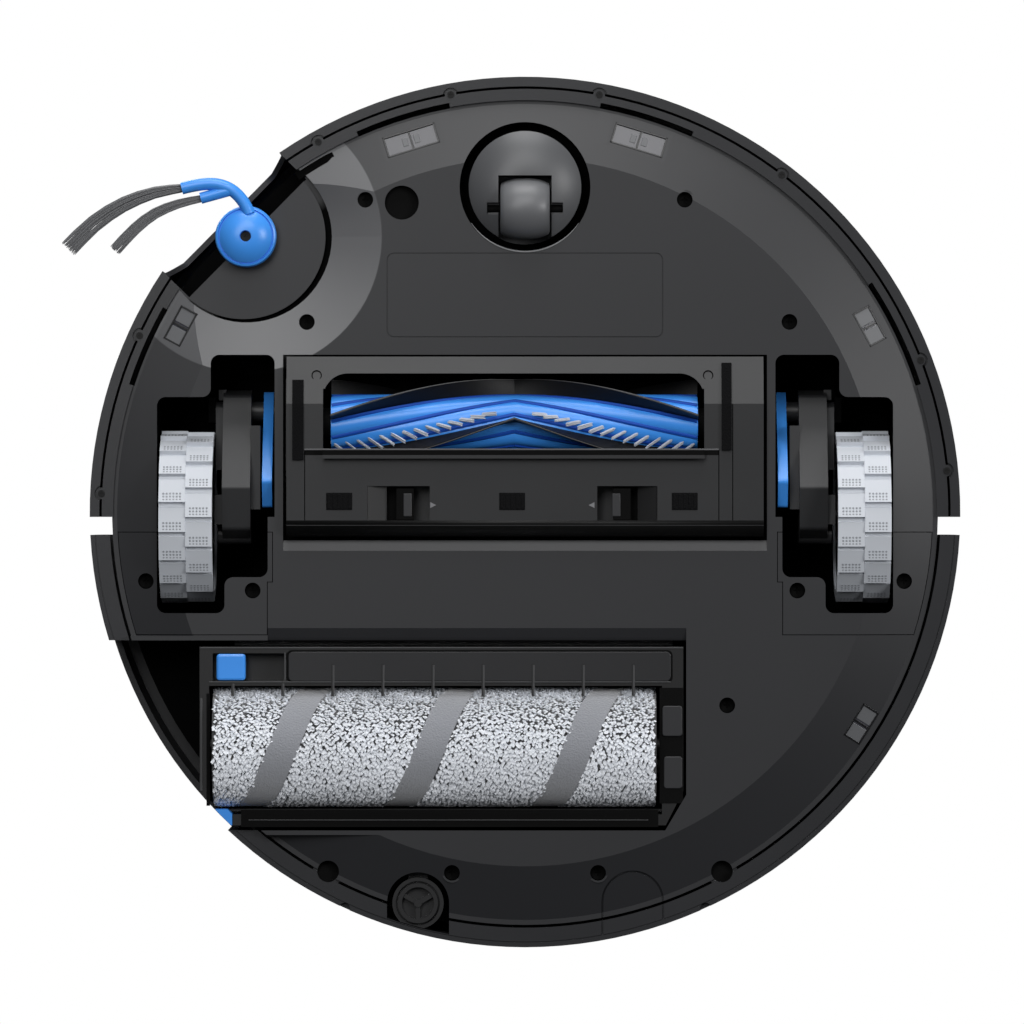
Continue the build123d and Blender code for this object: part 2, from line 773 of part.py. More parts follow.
# Catches that the brush cover's bolts sit in, open downwards
latch_y = (latch_front_y + latch_rear_y) / 2
latch_catches = []
for outer_x, side in ((latch_left[0], -1), (latch_right[1], 1)):
    catch = block(outer_x + side * 1.6, outer_x + side * (bolt_length + 0.3), latch_y - bolt_half_width - 1.8,
                  latch_y + bolt_half_width + 1.8, cover_z + cover_thick + 0.3, shelf_z)
    catch -= block(outer_x, outer_x + side * 2 * bolt_length, latch_y - bolt_half_width - slide_gap,
                   latch_y + bolt_half_width + slide_gap, 0, bolt_high_z + slide_gap)
    latch_catches.append(catch)

# Posts that carry the main board and ribs that carry the fan housing and the water tanks
board_posts = []
for x in (-board_half_x + 6, board_half_x - 6):
    for y in (board_front_y + 4, board_rear_y - 4):
        board_posts.append(post(x, y, 3, chamber_top_z + bay_wall / 2, board_z))

# In front of the wheel plates the underside's own wall reaches the edge of the wells, and the housings
# start above it
ahead_of_plates = block(-body_radius, body_radius, -body_radius, plate_front_y, 0, deck_z)
well_edges = []
for side in (-1, 1):
    edge_plan = extrude(housing_plan(housing_wall + seam, side), amount=deck_z, mode=Mode.PRIVATE)
    edge_plan -= extrude(housing_plan(0, side), amount=deck_z, mode=Mode.PRIVATE)
    well_edges.append(belly_skin(chassis_radius) & edge_plan & ahead_of_plates)

with BuildPart() as lower_chassis:
    add(belly_skin(chassis_radius))
    # Side wall
    with BuildSketch(Plane.XY.offset(flange_z)):
        Circle(chassis_radius)
        Circle(chassis_radius - chassis_wall, mode=Mode.SUBTRACT)
    extrude(amount=deck_z - flange_z)
    # Mop bay walls
    with BuildSketch(Plane.XY.offset(belly_z)):
        add(mop_bay_plan(mop_bay_wall))
        Circle(chassis_radius, mode=Mode.INTERSECT)
    extrude(amount=mop_bay_top_z + mop_bay_wall - belly_z)
    add(chassis_bosses)
    # Wheel wells, wheel plates, mop bay, slots beside the retainer and the water port's arched notch
    with BuildSketch():
        add(mop_bay_plan(0))
    extrude(amount=mop_bay_top_z, mode=Mode.SUBTRACT)
    with BuildSketch():
        for side in (-1, 1):
            add(housing_plan(housing_wall + seam, side))
            add(plan_box(side * plate_inner_x, side * bevel_radius, plate_front_y, plate_rear_y,
                         bevel_radius))
    extrude(amount=deck_z, mode=Mode.SUBTRACT)
    with BuildSketch():
        for start, end in slot_bearings:
            add(ring_sector(slot_inner, chassis_radius + 1, start, end))
    extrude(amount=flange_inner_z + 4, mode=Mode.SUBTRACT)
    with BuildSketch():
        add(port_notch_plan(chassis_radius + 1))
    extrude(amount=port_room_z, mode=Mode.SUBTRACT)
    add(well_edges)
    add(chassis_cuts, mode=Mode.SUBTRACT)
    add(latch_catches + board_posts)
    # Fine groove round the label field
    with BuildSketch(Plane.XY.offset(belly_z)):
        with Locations((0, (label_front_y + label_rear_y) / 2)):
            RectangleRounded(2 * label_half_x, label_rear_y - label_front_y, 3)
            RectangleRounded(2 * (label_half_x - groove), label_rear_y - label_front_y - 2 * groove,
                             3 - groove,
                             mode=Mode.SUBTRACT)
    extrude(amount=groove, mode=Mode.SUBTRACT)
lower_chassis.part.label = "lower_chassis"
export_step(lower_chassis.part, "parts/lower_chassis.step")


with BuildPart() as rear_shell:
    add(skirt(chassis_radius + rear_gap, skin_wall))
    # Flange that rests on the upper deck
    with BuildSketch(Plane.XY.offset(deck_z + deck_thick)):
        Circle(body_radius - skirt_lean - 1)
        Circle(chassis_radius - rear_flange, mode=Mode.SUBTRACT)
    extrude(amount=2)
    split(bisect_by=Plane.XZ.offset(-rear_shell_y), keep=Keep.BOTTOM)
    # Side opening of the mop bay
    add(block(-body_radius - 1, -mop_bay_rear_y / 2, mop_bay_front_y, mop_bay_rear_y, 0, mop_bay_top_z),
        mode=Mode.SUBTRACT)
    # Arched notch round the water port
    with BuildSketch():
        add(port_notch_plan(body_radius - skin_wall))
    extrude(amount=skirt_z + skin_wall, mode=Mode.SUBTRACT)
    add([post(x, dock_y, dock_radius, 0, deck_z / 2) for x in (-dock_x, dock_x)], mode=Mode.SUBTRACT)
    add(blank_line - Pos(0, 0, blank_depth) * post(0, 0, body_radius, skirt_z, deck_z), mode=Mode.SUBTRACT)
    # Fine seam in the lip, two finger notches at the rim and the exhaust slots
    with BuildSketch(Plane.XY.offset(skirt_z)):
        Circle(lip_seam_radius + groove)
        Circle(lip_seam_radius, mode=Mode.SUBTRACT)
    extrude(amount=groove, mode=Mode.SUBTRACT)
    with BuildSketch():
        with Locations(on_circle(body_radius, 180 - rim_notch_bearing),
                       on_circle(body_radius, 180 + rim_notch_bearing)):
            Circle(2.2)
    extrude(amount=skirt_z + skin_wall, mode=Mode.SUBTRACT)
    for k in range(vent_count):
        bearing = vent_bearing + k * vent_pitch
        outward = Plane(origin=(0, 0, 0), x_dir=(cos(radians(bearing)), sin(radians(bearing)), 0),
                        z_dir=(sin(radians(bearing)), -cos(radians(bearing)), 0))
        with BuildSketch(outward):
            with Locations((0, (vent_low_z + vent_high_z) / 2)):
                SlotOverall(vent_high_z - vent_low_z, 2.0, rotation=90)
        extrude(amount=body_radius + 1, mode=Mode.SUBTRACT)
rear_shell.part.label = "rear_shell"
export_step(rear_shell.part, "parts/rear_shell.step")

with BuildPart() as upper_deck:
    with BuildSketch(Plane.XY.offset(deck_z)):
        Circle(chassis_radius)
        add(plan_box(-bin_half_x - 1, bin_half_x + 1, bin_front_y - 1, bin_rear_y + 1), mode=Mode.SUBTRACT)
        for x, y, radius in deck_windows:
            with Locations((x, y)):
                Circle(radius, mode=Mode.SUBTRACT)
    extrude(amount=deck_thick)
    add(chassis_beyond_flat, mode=Mode.SUBTRACT)
    # Boss under the deck that the lidar head's spindle turns in
    add(post(0, turret_y, head_spindle + 4, deck_z - 6, deck_z))
    add(post(0, turret_y, head_spindle + running, 0, deck_z + deck_thick), mode=Mode.SUBTRACT)
upper_deck.part.label = "upper_deck"
export_step(upper_deck.part, "parts/upper_deck.step")

# ------------------------------------------------------------------------------------ the bumper

# Arch-shaped opening over the side brush, as a solid that reaches out from the axis
arch_plane = Plane(origin=(0, 0, 0), x_dir=(cos(radians(hub_bearing)), sin(radians(hub_bearing)), 0),
                   z_dir=(sin(radians(hub_bearing)), -cos(radians(hub_bearing)), 0))
with BuildPart() as side_arch:
    with BuildSketch(arch_plane):
        with Locations((0, arch_top_z / 2)):
            Rectangle(2 * arch_half_width, arch_top_z)
        fillet(vertices().group_by(Axis.Z)[-1], arch_corner)
    extrude(amount=body_radius + 5)

flat_outline = [(-arch_half_width, arch_edge), (-arch_flat_half, arch_flat), (arch_flat_half, arch_flat),
                (arch_half_width, arch_edge)]
window_plan = ring_sector(body_radius - skin_wall - 2, body_radius + 2, -window_half_angle, window_half_angle)
ear_places = [on_circle(retainer_outer - 0.2, bearing) for bearing in ear_bearings]

with BuildPart() as bumper_shell:
    add(skirt(retainer_outer + lip_gap, bumper_lip))
    # Ledge that closes the room behind the bumper at its top
    with BuildSketch(Plane.XY.offset(ledge_low_z)):
        Circle(body_radius - skirt_lean - 1)
        Circle(ledge_inner, mode=Mode.SUBTRACT)
    extrude(amount=ledge_thick)
    split(bisect_by=Plane.XZ.offset(-bumper_end_y), keep=Keep.TOP)
    # Flattened wall over the side brush arch
    add(arch_prism(flat_outline + [(arch_half_width, body_radius + 5), (-arch_half_width, body_radius + 5)],
                   0, deck_z * 2),
        mode=Mode.SUBTRACT)
    wall_outline = flat_outline + [(along, out - skin_wall + 0.3) for along, out in reversed(flat_outline)]
    add(arch_prism(wall_outline, skirt_z, skirt_top_z))
    add(side_arch.part, mode=Mode.SUBTRACT)
    with BuildSketch(Plane.XY.offset(window_low_z)):
        add(window_plan)
    extrude(amount=window_high_z - window_low_z, mode=Mode.SUBTRACT)
    add([post(x, y, ear_radius + lip_gap, 0, skirt_z + retainer_thick) for x, y in ear_places],
        mode=Mode.SUBTRACT)
    # Tabs over the ring's ears, for its screws
    for x, y in bumper_screw_places:
        tab = post(x, y, bumper_screw_radius + ear_tab, skirt_z + retainer_thick, skirt_z + bumper_lip)
        add(tab - post(0, 0, retainer_outer - tab_reach, 0, deck_z))
    add([post(x, y, bumper_screw_radius + running, 0, skirt_z + bumper_lip) for x, y in bumper_screw_places],
        mode=Mode.SUBTRACT)
bumper_shell.part.label = "bumper_shell"
export_step(bumper_shell.part, "parts/bumper_shell.step")

with BuildPart() as bumper_retainer:
    with BuildSketch(Plane.XY.offset(skirt_z)):
        Circle(retainer_outer)
        with Locations(*ear_places):
            Circle(ear_radius)
        Circle(body_radius - 0.6, mode=Mode.INTERSECT)
        Circle(retainer_inner, mode=Mode.SUBTRACT)
        for start, end in slot_bearings:
            add(ring_sector(retainer_inner - 1, slot_outer, start, end), mode=Mode.SUBTRACT)
    extrude(amount=retainer_thick)
    split(bisect_by=Plane.XZ.offset(-bumper_end_y), keep=Keep.TOP)
    add(side_arch.part, mode=Mode.SUBTRACT)
    add([post(x, y, bumper_screw_radius + running, 0, deck_z) for x, y in bumper_screw_places],
        mode=Mode.SUBTRACT)
bumper_retainer.part.label = "bumper_retainer"
export_step(bumper_retainer.part, "parts/bumper_retainer.step")

with BuildPart() as bumper_screws:
    for x, y in bumper_screw_places:
        add(post(x, y, bumper_screw_head, skirt_z - 0.5, skirt_z))
        add(post(x, y, bumper_screw_radius, skirt_z, skirt_z + bumper_lip))
        add(block(x - 0.8, x + 0.8, y - 0.2, y + 0.2, 0, skirt_z - 0.2), mode=Mode.SUBTRACT)
        add(block(x - 0.2, x + 0.2, y - 0.8, y + 0.8, 0, skirt_z - 0.2), mode=Mode.SUBTRACT)
bumper_screws.part.label = "bumper_screws"
export_step(bumper_screws.part, "parts/bumper_screws.step")

with BuildPart() as sensor_window:
    add(skirt(retainer_outer + lip_gap, bumper_lip))
    with BuildSketch(Plane.XY.offset(window_low_z + 0.1)):
        add(ring_sector(body_radius - skin_wall - 2, body_radius + 2, 0.05 - window_half_angle,
                        window_half_angle - 0.05))
    extrude(amount=window_high_z - window_low_z - 0.2, mode=Mode.INTERSECT)
sensor_window.part.label = "sensor_window"
export_step(sensor_window.part, "parts/sensor_window.step")

# ------------------------------------------------------------------- side brush and its drive

deck_low_z = belly_z + side_recess_depth
side_bore = side_shaft_radius + running

with BuildPart() as side_brush_deck:
    add(post(side_x - side_disc_shift, side_y, side_disc_radius, deck_low_z, flange_z))
    add(post(side_x, side_y, side_deck_radius - 6 - running, flange_z, pad_top_z))
    add(arch_room, mode=Mode.SUBTRACT)
    add(post(0, 0, arch_back + 3.5, 0, deck_z), mode=Mode.INTERSECT)
    add(post(side_x, side_y, side_bore, 0, deck_z), mode=Mode.SUBTRACT)
side_brush_deck.part.label = "side_brush_deck"
export_step(side_brush_deck.part, "parts/side_brush_deck.step")

with BuildPart() as side_brush_motor:
    add(post(gear_x, gear_y, side_gear_radius, pad_top_z, gear_top_z))
    add(post(gear_x + 4, gear_y + 4, side_motor_radius, gear_top_z, gear_top_z + side_motor_height))
    add(post(side_x, side_y, side_bore, 0, pad_top_z + 9), mode=Mode.SUBTRACT)
side_brush_motor.part.label = "side_brush_motor"
export_step(side_brush_motor.part, "parts/side_brush_motor.step")


def from_shaft(place):
    """Place in plan of a point given from the side brush's shaft."""
    return (side_x + place[0], side_y + place[1])


with BuildPart() as side_brush_hub:
    with BuildSketch(Plane.XZ.offset(-side_y)):
        with BuildLine():
            dome = ThreePointArc((side_x, hub_low_z), (side_x + hub_radius * 0.6, hub_low_z + 1.2),
                                 (side_x + hub_radius - 1.8, hub_low_z + 3.4))
            # Fine groove, then the bead along the rim
            bead_x = side_x + hub_radius
            Polyline(dome @ 1, (bead_x - 1.8, hub_low_z + 4.2), (bead_x - 1.4, hub_low_z + 4.2),
                     (bead_x - 1.1, hub_low_z + 3.5), (bead_x - 0.4, hub_low_z + 3.8),
                     (bead_x, hub_low_z + 5.0),
                     (bead_x, hub_high_z), (side_x, hub_high_z), dome @ 0)
        make_face()
    revolve(axis=Axis((side_x, side_y, 0), (0, 0, 1)))
    add(post(side_x, side_y, 6, hub_high_z, deck_low_z - slide_gap))
    add(post(side_x, side_y, side_shaft_radius, deck_low_z - slide_gap, pad_top_z + 8.5))
    # Curved stem: out of the hub towards the front, then round to the tufts
    with BuildLine() as stem_path:
        Spline(*[(*from_shaft(place), stem_z) for place in stem_course])
    with BuildSketch(Plane(origin=stem_path.line @ 0, z_dir=stem_path.line % 0)):
        Circle(stem_radius)
    sweep(path=stem_path.line)
    # Short second branch
    branch_root = Vector(*from_shaft(branch_from), stem_z)
    branch_dir = Vector(*from_shaft(branch_to), stem_z) - branch_root
    with BuildSketch(Plane(origin=branch_root, z_dir=branch_dir)):
        Circle(stem_radius * 0.92)
    extrude(amount=branch_dir.length)
    hub_cone_top = hub_low_z + 2.2 + hub_screw_radius - screw_shank_radius
    add(post(side_x, side_y, screw_shank_radius + running, 0, hub_low_z + 10), mode=Mode.SUBTRACT)
    add(post(side_x, side_y, hub_screw_radius + seam, 0, hub_low_z + 2.2), mode=Mode.SUBTRACT)
    add(countersink(side_x, side_y, hub_screw_radius + running, screw_shank_radius + running, hub_low_z + 2.2,
                    hub_cone_top), mode=Mode.SUBTRACT)
side_brush_hub.part.label = "side_brush_hub"
export_step(side_brush_hub.part, "parts/side_brush_hub.step")

with BuildPart() as side_brush_screw:
    add(screw(side_x, side_y, hub_low_z + 2.2, 7.5, hub_screw_radius))
side_brush_screw.part.label = "side_brush_screw"
export_step(side_brush_screw.part, "parts/side_brush_screw.step")


def tuft(start, bend, tip, root_width, tip_width):
    """Curved tuft in plan that slopes down from its root to the floor."""
    path = Vector(*tip) - Vector(*start)
    side = Vector(-path.Y, path.X).normalized()
    with BuildPart(mode=Mode.PRIVATE) as strip:
        with BuildSketch(Plane.XY.offset(tuft_tip_z)):
            with BuildLine():
                near = ThreePointArc(Vector(*start) - side * root_width / 2,
                                     Vector(*bend) - side * root_width / 2,
                                     Vector(*tip) - side * tip_width / 2)
                far = ThreePointArc(Vector(*start) + side * root_width / 2,
                                    Vector(*bend) + side * root_width / 2,
                                    Vector(*tip) + side * tip_width / 2)
                Line(near @ 0, far @ 0)
                Line(near @ 1, far @ 1)
            make_face()
        extrude(amount=stem_z)
        length = path.length
        with BuildSketch(Plane(origin=(*start, 0), x_dir=path, z_dir=(path.Y, -path.X, 0))):
            with BuildLine():
                Polyline((-1, stem_z - 1.3), (-1, stem_z + 1.3), (length + 2, tuft_tip_z + 1.4),
                         (length + 2, tuft_tip_z), close=True)
            make_face()
        extrude(amount=60, both=True, mode=Mode.INTERSECT)
    return strip.part


with BuildPart() as side_brush_bristles:
    add(tuft(*[from_shaft(place) for place in long_tuft], *long_tuft_widths))
    add(tuft(*[from_shaft(place) for place in short_tuft], *short_tuft_widths))
side_brush_bristles.part.label = "side_brush_bristles"
export_step(side_brush_bristles.part, "parts/side_brush_bristles.step")

# ------------------------------------------------------------------------------------ the caster

caster_wheel_y = caster_y + caster_trail

with BuildPart() as caster_swivel:
    with BuildSketch(Plane.XZ.offset(-caster_y)):
        with BuildLine():
            cap = ThreePointArc((0, swivel_low_z), (swivel_radius * 0.72, swivel_low_z + 2.2),
                                (swivel_radius, swivel_edge_z))
            Polyline(cap @ 1, (swivel_radius, swivel_top_z), (0, swivel_top_z), cap @ 0)
        make_face()
    revolve(axis=Axis((0, caster_y, 0), (0, 0, 1)))
    add(post(0, caster_y, caster_stem_radius, swivel_top_z, caster_stem_top_z))
    wheel_room = caster_wheel_radius + caster_clearance
    add(block(-caster_wheel_width / 2 - caster_clearance, caster_wheel_width / 2 + caster_clearance,
              caster_wheel_y - wheel_room, caster_y + swivel_radius + 1, 0,
              2 * caster_wheel_radius + caster_clearance),
        mode=Mode.SUBTRACT)
    add(block(-caster_axle_half - 0.2, caster_axle_half + 0.2, caster_wheel_y - axle_slot_half,
              caster_wheel_y + axle_slot_half, 0, caster_wheel_radius), mode=Mode.SUBTRACT)
    add(bar(-caster_axle_half - 0.2, caster_axle_half + 0.2, caster_wheel_y, caster_wheel_radius,
            caster_axle_radius + 0.02), mode=Mode.SUBTRACT)
caster_swivel.part.label = "caster_swivel"
export_step(caster_swivel.part, "parts/caster_swivel.step")

with BuildPart() as caster_wheel:
    add(bar(-caster_wheel_width / 2, caster_wheel_width / 2, caster_wheel_y, caster_wheel_radius,
            caster_wheel_radius))
    chamfer(edges().filter_by(GeomType.CIRCLE), 1.5)
    add(bar(-caster_wheel_width, caster_wheel_width, caster_wheel_y, caster_wheel_radius,
            caster_axle_radius + running), mode=Mode.SUBTRACT)
caster_wheel.part.label = "caster_wheel"
export_step(caster_wheel.part, "parts/caster_wheel.step")

with BuildPart() as caster_axle:
    add(bar(-caster_axle_half, caster_axle_half, caster_wheel_y, caster_wheel_radius, caster_axle_radius))
caster_axle.part.label = "caster_axle"
export_step(caster_axle.part, "parts/caster_axle.step")

# ----------------------------------------------------------------- drive wheels and swing arms

arm_outline = [
    (pivot_y - 9.0, pivot_z + 3.0),
    (pivot_y - 6.5, pivot_z - 9.0),
    (arm_low_y, arm_low_z),
    (wheel_y + 5.0, arm_low_z + 4.0),
    (wheel_y + 10.6, wheel_z - 6.0),
    (wheel_y + 10.6, wheel_z + 9.0),
    (wheel_y + 3.0, arm_top_z),
    (pivot_y + 4.0, arm_top_z),
]
lever_outline = [
    (pivot_y - 9.3, pivot_z + 2.0),
    (lever_low_y, lever_low_z),
    (lever_low_y + 11.4, lever_low_z + 7.0),
    (lever_low_y + 8.0, lever_low_z + 14.0),
    (lever_low_y - 2.0, lever_low_z + 14.0),
    (pivot_y + 8.0, pivot_z + 4.0),
    (pivot_y, pivot_z + 8.5),
]

# Room for the underside's own wall round the front part of the wells
skin_room = belly_skin(chassis_radius + 1) + Pos(0, 0, seam) * belly_skin(chassis_radius + 1)
skin_room &= block(-body_radius, body_radius, -body_radius, plate_front_y + seam, 0, deck_z)

for name, side in (("left", -1), ("right", 1)):
    tyre_inner_x = side * (wheel_x - tyre_width / 2)
    tyre_outer_x = side * (wheel_x + tyre_width / 2)
    arm_middle_x = side * (arm_inner_x + arm_outer_x) / 2

    with BuildPart() as wheel_housing:
        add(under_body(chassis_radius, housing_top_z))
        with BuildSketch():
            add(housing_plan(housing_wall, side))
        extrude(amount=housing_top_z, mode=Mode.INTERSECT)
        with BuildSketch():
            add(housing_plan(0, side))
        extrude(amount=housing_top_z - housing_wall, mode=Mode.SUBTRACT)
        add(skin_room, mode=Mode.SUBTRACT)
        # Cover plate, flush with the underside, with its screw bosses
        plate_plan = plan_box(side * (plate_inner_x + seam), side * body_radius, plate_front_y + seam,
                              plate_rear_y - seam, bevel_radius - seam)
        plate = belly_skin(chassis_radius) & extrude(plate_plan, amount=deck_z, mode=Mode.PRIVATE)
        plate -= extrude(housing_plan(0, side), amount=deck_z, mode=Mode.PRIVATE)
        add(plate)
        add([post(side * x, y, boss_radius, z + 0.5, z + screw_length + 2) for x, y, z in plate_screw_places])
        add([screw_hole(side * x, y, z) for x, y, z in plate_screw_places], mode=Mode.SUBTRACT)
        # Bracket for the outer end of the arm's trunnion, and the bores at both ends
        add(block(side * bracket_inner_x, side * (bracket_inner_x + bracket_thick), tyre_well_front_y,
                  pivot_y + 4.5,
                  pivot_z - 6.2, housing_top_z - housing_wall))
        add(bar(0, side * (bracket_inner_x + bracket_thick + 0.3), pivot_y, pivot_z,
                trunnion_radius + running),
            mode=Mode.SUBTRACT)
    wheel_housing.part.label = f"wheel_housing_{name}"
    export_step(wheel_housing.part, f"parts/wheel_housing_{name}.step")

    with BuildPart() as suspension_arm:
        with BuildSketch(Plane.YZ.offset(side * arm_inner_x)):
            with BuildLine():
                Polyline(*arm_outline, close=True)
            make_face()
            fillet(vertices(), 2.5)
        extrude(amount=side * (arm_outer_x - arm_inner_x))
        add(block(side * (lever_outer_x + 1), side * arm_inner_x, arm_low_y - 25, arm_low_y + 9,
                  arm_low_z + 8,
                  arm_top_z - 6))
        add(bar(side * (well_inner_x - housing_wall), side * (bracket_inner_x + bracket_thick), pivot_y,
                pivot_z,
                trunnion_radius))
        # Flange at the hinge, the gear cover's plate, and the lug under the axle with its boss
        add(block(side * (arm_outer_x - 1), side * (arm_outer_x + 2.1), pivot_y - 8.9, pivot_y - 4.6,
                  pivot_z - 3,
                  pivot_z + 3))
        add(block(side * (arm_outer_x - 1), side * (arm_outer_x + 3.1), pivot_y - 1.5, wheel_y - 19.2,
                  pivot_z - 8,
                  pivot_z + 8))
        add(block(side * (arm_outer_x - 1), side * (arm_outer_x + 3.1), wheel_y - 9, wheel_y + 3,
                  arm_low_z + 6,
                  wheel_z))
        add(bar(side * arm_inner_x, side * (arm_outer_x + 1.8), wheel_y + 7.3, wheel_z - 6, arm_boss_radius))
        add(bar(side * arm_outer_x, side * (wheel_x + tyre_width / 2 - 1.5), wheel_y, wheel_z, axle_radius))
        motor_z = arm_top_z + motor_radius - motor_seat
        motor_place = Pos(arm_middle_x, motor_y, motor_z) * Rot(90, 0, 0)
        add(motor_place * Cylinder(motor_radius + running, 2 * motor_length, mode=Mode.PRIVATE),
            mode=Mode.SUBTRACT)
    suspension_arm.part.label = f"suspension_arm_{name}"
    export_step(suspension_arm.part, f"parts/suspension_arm_{name}.step")

    with BuildPart() as drive_motor:
        with Locations(motor_place):
            Cylinder(motor_radius, motor_length)
            Cylinder(motor_radius * 0.4, motor_length + 2)
    drive_motor.part.label = f"drive_motor_{name}"
    export_step(drive_motor.part, f"parts/drive_motor_{name}.step")

    with BuildPart() as arm_spring:
        spring_low_z = arm_top_z + spring_wire + 0.1
        spring_high_z = housing_top_z - housing_wall - spring_wire - 0.1
        with BuildLine() as coil:
            Helix(pitch=(spring_high_z - spring_low_z) / spring_turns, height=spring_high_z - spring_low_z,
                  radius=spring_radius, center=(arm_middle_x, spring_y, spring_low_z))
        with BuildSketch(Plane(origin=coil.line @ 0, z_dir=coil.line % 0)):
            Circle(spring_wire)
        sweep(path=coil.line)
    arm_spring.part.label = f"arm_spring_{name}"
    export_step(arm_spring.part, f"parts/arm_spring_{name}.step")

    with BuildPart() as climb_lever:
        with BuildSketch(Plane.YZ.offset(side * lever_inner_x)):
            with BuildLine():
                Polyline(*lever_outline, close=True)
            make_face()
            fillet(vertices(), 2.0)
        extrude(amount=side * (lever_outer_x - lever_inner_x))
        add(bar(0, side * wheel_x, pivot_y, pivot_z, trunnion_radius + running), mode=Mode.SUBTRACT)
    climb_lever.part.label = f"climb_lever_{name}"
    export_step(climb_lever.part, f"parts/climb_lever_{name}.step")

    with BuildPart() as wheel_rim:
        add(bar(tyre_inner_x + side, tyre_outer_x - side, wheel_y, wheel_z, tyre_inner_radius - running))
        add(bar(tyre_inner_x, tyre_outer_x, wheel_y, wheel_z, tyre_inner_radius - rim_wall),
            mode=Mode.SUBTRACT)
        add(bar(side * (wheel_x - 2), side * (wheel_x + 2), wheel_y, wheel_z, tyre_inner_radius - 1))
        add(bar(tyre_inner_x + side * 0.4, tyre_outer_x - side, wheel_y, wheel_z, 3 * axle_radius))
        with BuildSketch(Plane.YZ.offset(side * (wheel_x - 2))):
            with Locations((wheel_y, wheel_z)):
                with PolarLocations(tyre_inner_radius * 0.62, 6):
                    Circle(tyre_inner_radius * 0.17)
        extrude(amount=side * 4, mode=Mode.SUBTRACT)
        add(bar(0, side * (wheel_x + tyre_width), wheel_y, wheel_z, axle_radius + running),
            mode=Mode.SUBTRACT)
    wheel_rim.part.label = f"wheel_rim_{name}"
    export_step(wheel_rim.part, f"parts/wheel_rim_{name}.step")

    with BuildPart() as tyre:
        pitch = 360 / lug_count
        for row in range(2):
            start_x = tyre_inner_x + side * row * tyre_width / 2
            corners = []
            for k in range(lug_count):
                turn = -90 + pitch * (k + row / 2)
                for share, radius in ((0.02, tyre_root_radius), (0.14, tyre_root_radius),
                                      (0.18, tyre_radius - lug_drop), (1, tyre_radius)):
                    angle = radians(turn + share * pitch)
                    corners.append((wheel_y + radius * cos(angle), wheel_z + radius * sin(angle)))
            with BuildSketch(Plane.YZ.offset(start_x)):
                with BuildLine():
                    Polyline(*corners, close=True)
                make_face()
            extrude(amount=side * tyre_width / 2)
        add(bar(tyre_inner_x - side, tyre_outer_x + side, wheel_y, wheel_z, tyre_inner_radius),
            mode=Mode.SUBTRACT)
    tyre.part.label = f"tyre_{name}"
    export_step(tyre.part, f"parts/tyre_{name}.step")


# ------------------------------------------------------------------------------- the main brush

brush_left_x = brush_center_x - brush_length / 2
brush_right_x = brush_center_x + brush_length / 2
lip_inner = flap_radius + lip_clearance
lip_outer = lip_inner + lip_wall
cover_top = cover_z + cover_thick
mouth_rear_y = brush_y + sqrt(lip_inner**2 - (brush_z - cover_z) ** 2)


def fin(start, reach, thick, lean, side):
    """Blade on the brush from its middle to one end, turning about the axis on the way."""
    root = brush_core_radius - 1
    with BuildPart(mode=Mode.PRIVATE) as blade:
        for share in (0, 0.25, 0.5, 0.75, 1):
            turn = radians(start + flap_twist * share)
            tip_turn = turn + radians(lean)
            foot = (root * cos(turn), root * sin(turn))
            tip = (reach * cos(tip_turn), reach * sin(tip_turn))
            slant = degrees(atan2(tip[1] - foot[1], tip[0] - foot[0]))
            x = brush_center_x + side * share * brush_length / 2
            with BuildSketch(Plane.YZ.offset(x)):
                with Locations((brush_y + (foot[0] + tip[0]) / 2, brush_z + (foot[1] + tip[1]) / 2)):
                    Rectangle(hypot(tip[0] - foot[0], tip[1] - foot[1]), thick, rotation=slant)
        loft()
    return blade.part


with BuildPart() as brush_core:
    add(bar(brush_left_x, brush_right_x, brush_y, brush_z, brush_core_radius))
    add(bar(gear_left_x + 2, chamber_right_x + bay_wall + 2, brush_y, brush_z, journal_radius))
brush_core.part.label = "brush_core"
export_step(brush_core.part, "parts/brush_core.step")

blade_step = 360 / flap_count
end_rings = [bar(brush_left_x, brush_left_x + end_ring_width, brush_y, brush_z, end_ring_radius),
             bar(brush_right_x - end_ring_width, brush_right_x, brush_y, brush_z, end_ring_radius)]

with BuildPart() as brush_flaps:
    for k in range(flap_count):
        for side in (-1, 1):
            add(fin(flap_start + k * blade_step, flap_radius, flap_thick, 0, side))
    add(end_rings)
    add(bar(brush_left_x - 1, brush_right_x + 1, brush_y, brush_z, brush_core_radius - 1), mode=Mode.SUBTRACT)
brush_flaps.part.label = "brush_flaps"
export_step(brush_flaps.part, "parts/brush_flaps.step")

with BuildPart() as brush_bristles:
    for k in range(flap_count):
        for side in (-1, 1):
            add(fin(bristle_start + k * blade_step, flap_radius - 0.8, bristle_thick, bristle_lean, side))
    add(end_rings, mode=Mode.SUBTRACT)
brush_bristles.part.label = "brush_bristles"
export_step(brush_bristles.part, "parts/brush_bristles.step")

with BuildPart() as brush_gearbox:
    add(block(gear_left_x, gear_right_x, brush_y - 18, chamber_rear_y - 0.5, gear_low_z, chamber_top_z - 0.2))
    add(block(gear_left_x, gear_right_x, neck_front_y, neck_rear_y, chamber_top_z - 1, brush_motor_z + 9))
    add(bar(gear_right_x, gear_right_x + brush_motor_length, (neck_front_y + neck_rear_y) / 2, brush_motor_z,
            brush_motor_radius))
    add(bar(gear_left_x - 1, gear_right_x + 1, brush_y, brush_z, journal_radius + running),
        mode=Mode.SUBTRACT)
brush_gearbox.part.label = "brush_gearbox"
export_step(brush_gearbox.part, "parts/brush_gearbox.step")

# -------------------------------------------------------------------------------- brush cover


def latch_pocket(ends, grow, z0, z1):
    """Pocket that a latch slides in."""
    return block(ends[0] - grow, ends[1] + grow, latch_front_y - grow, latch_rear_y + grow, z0, z1)


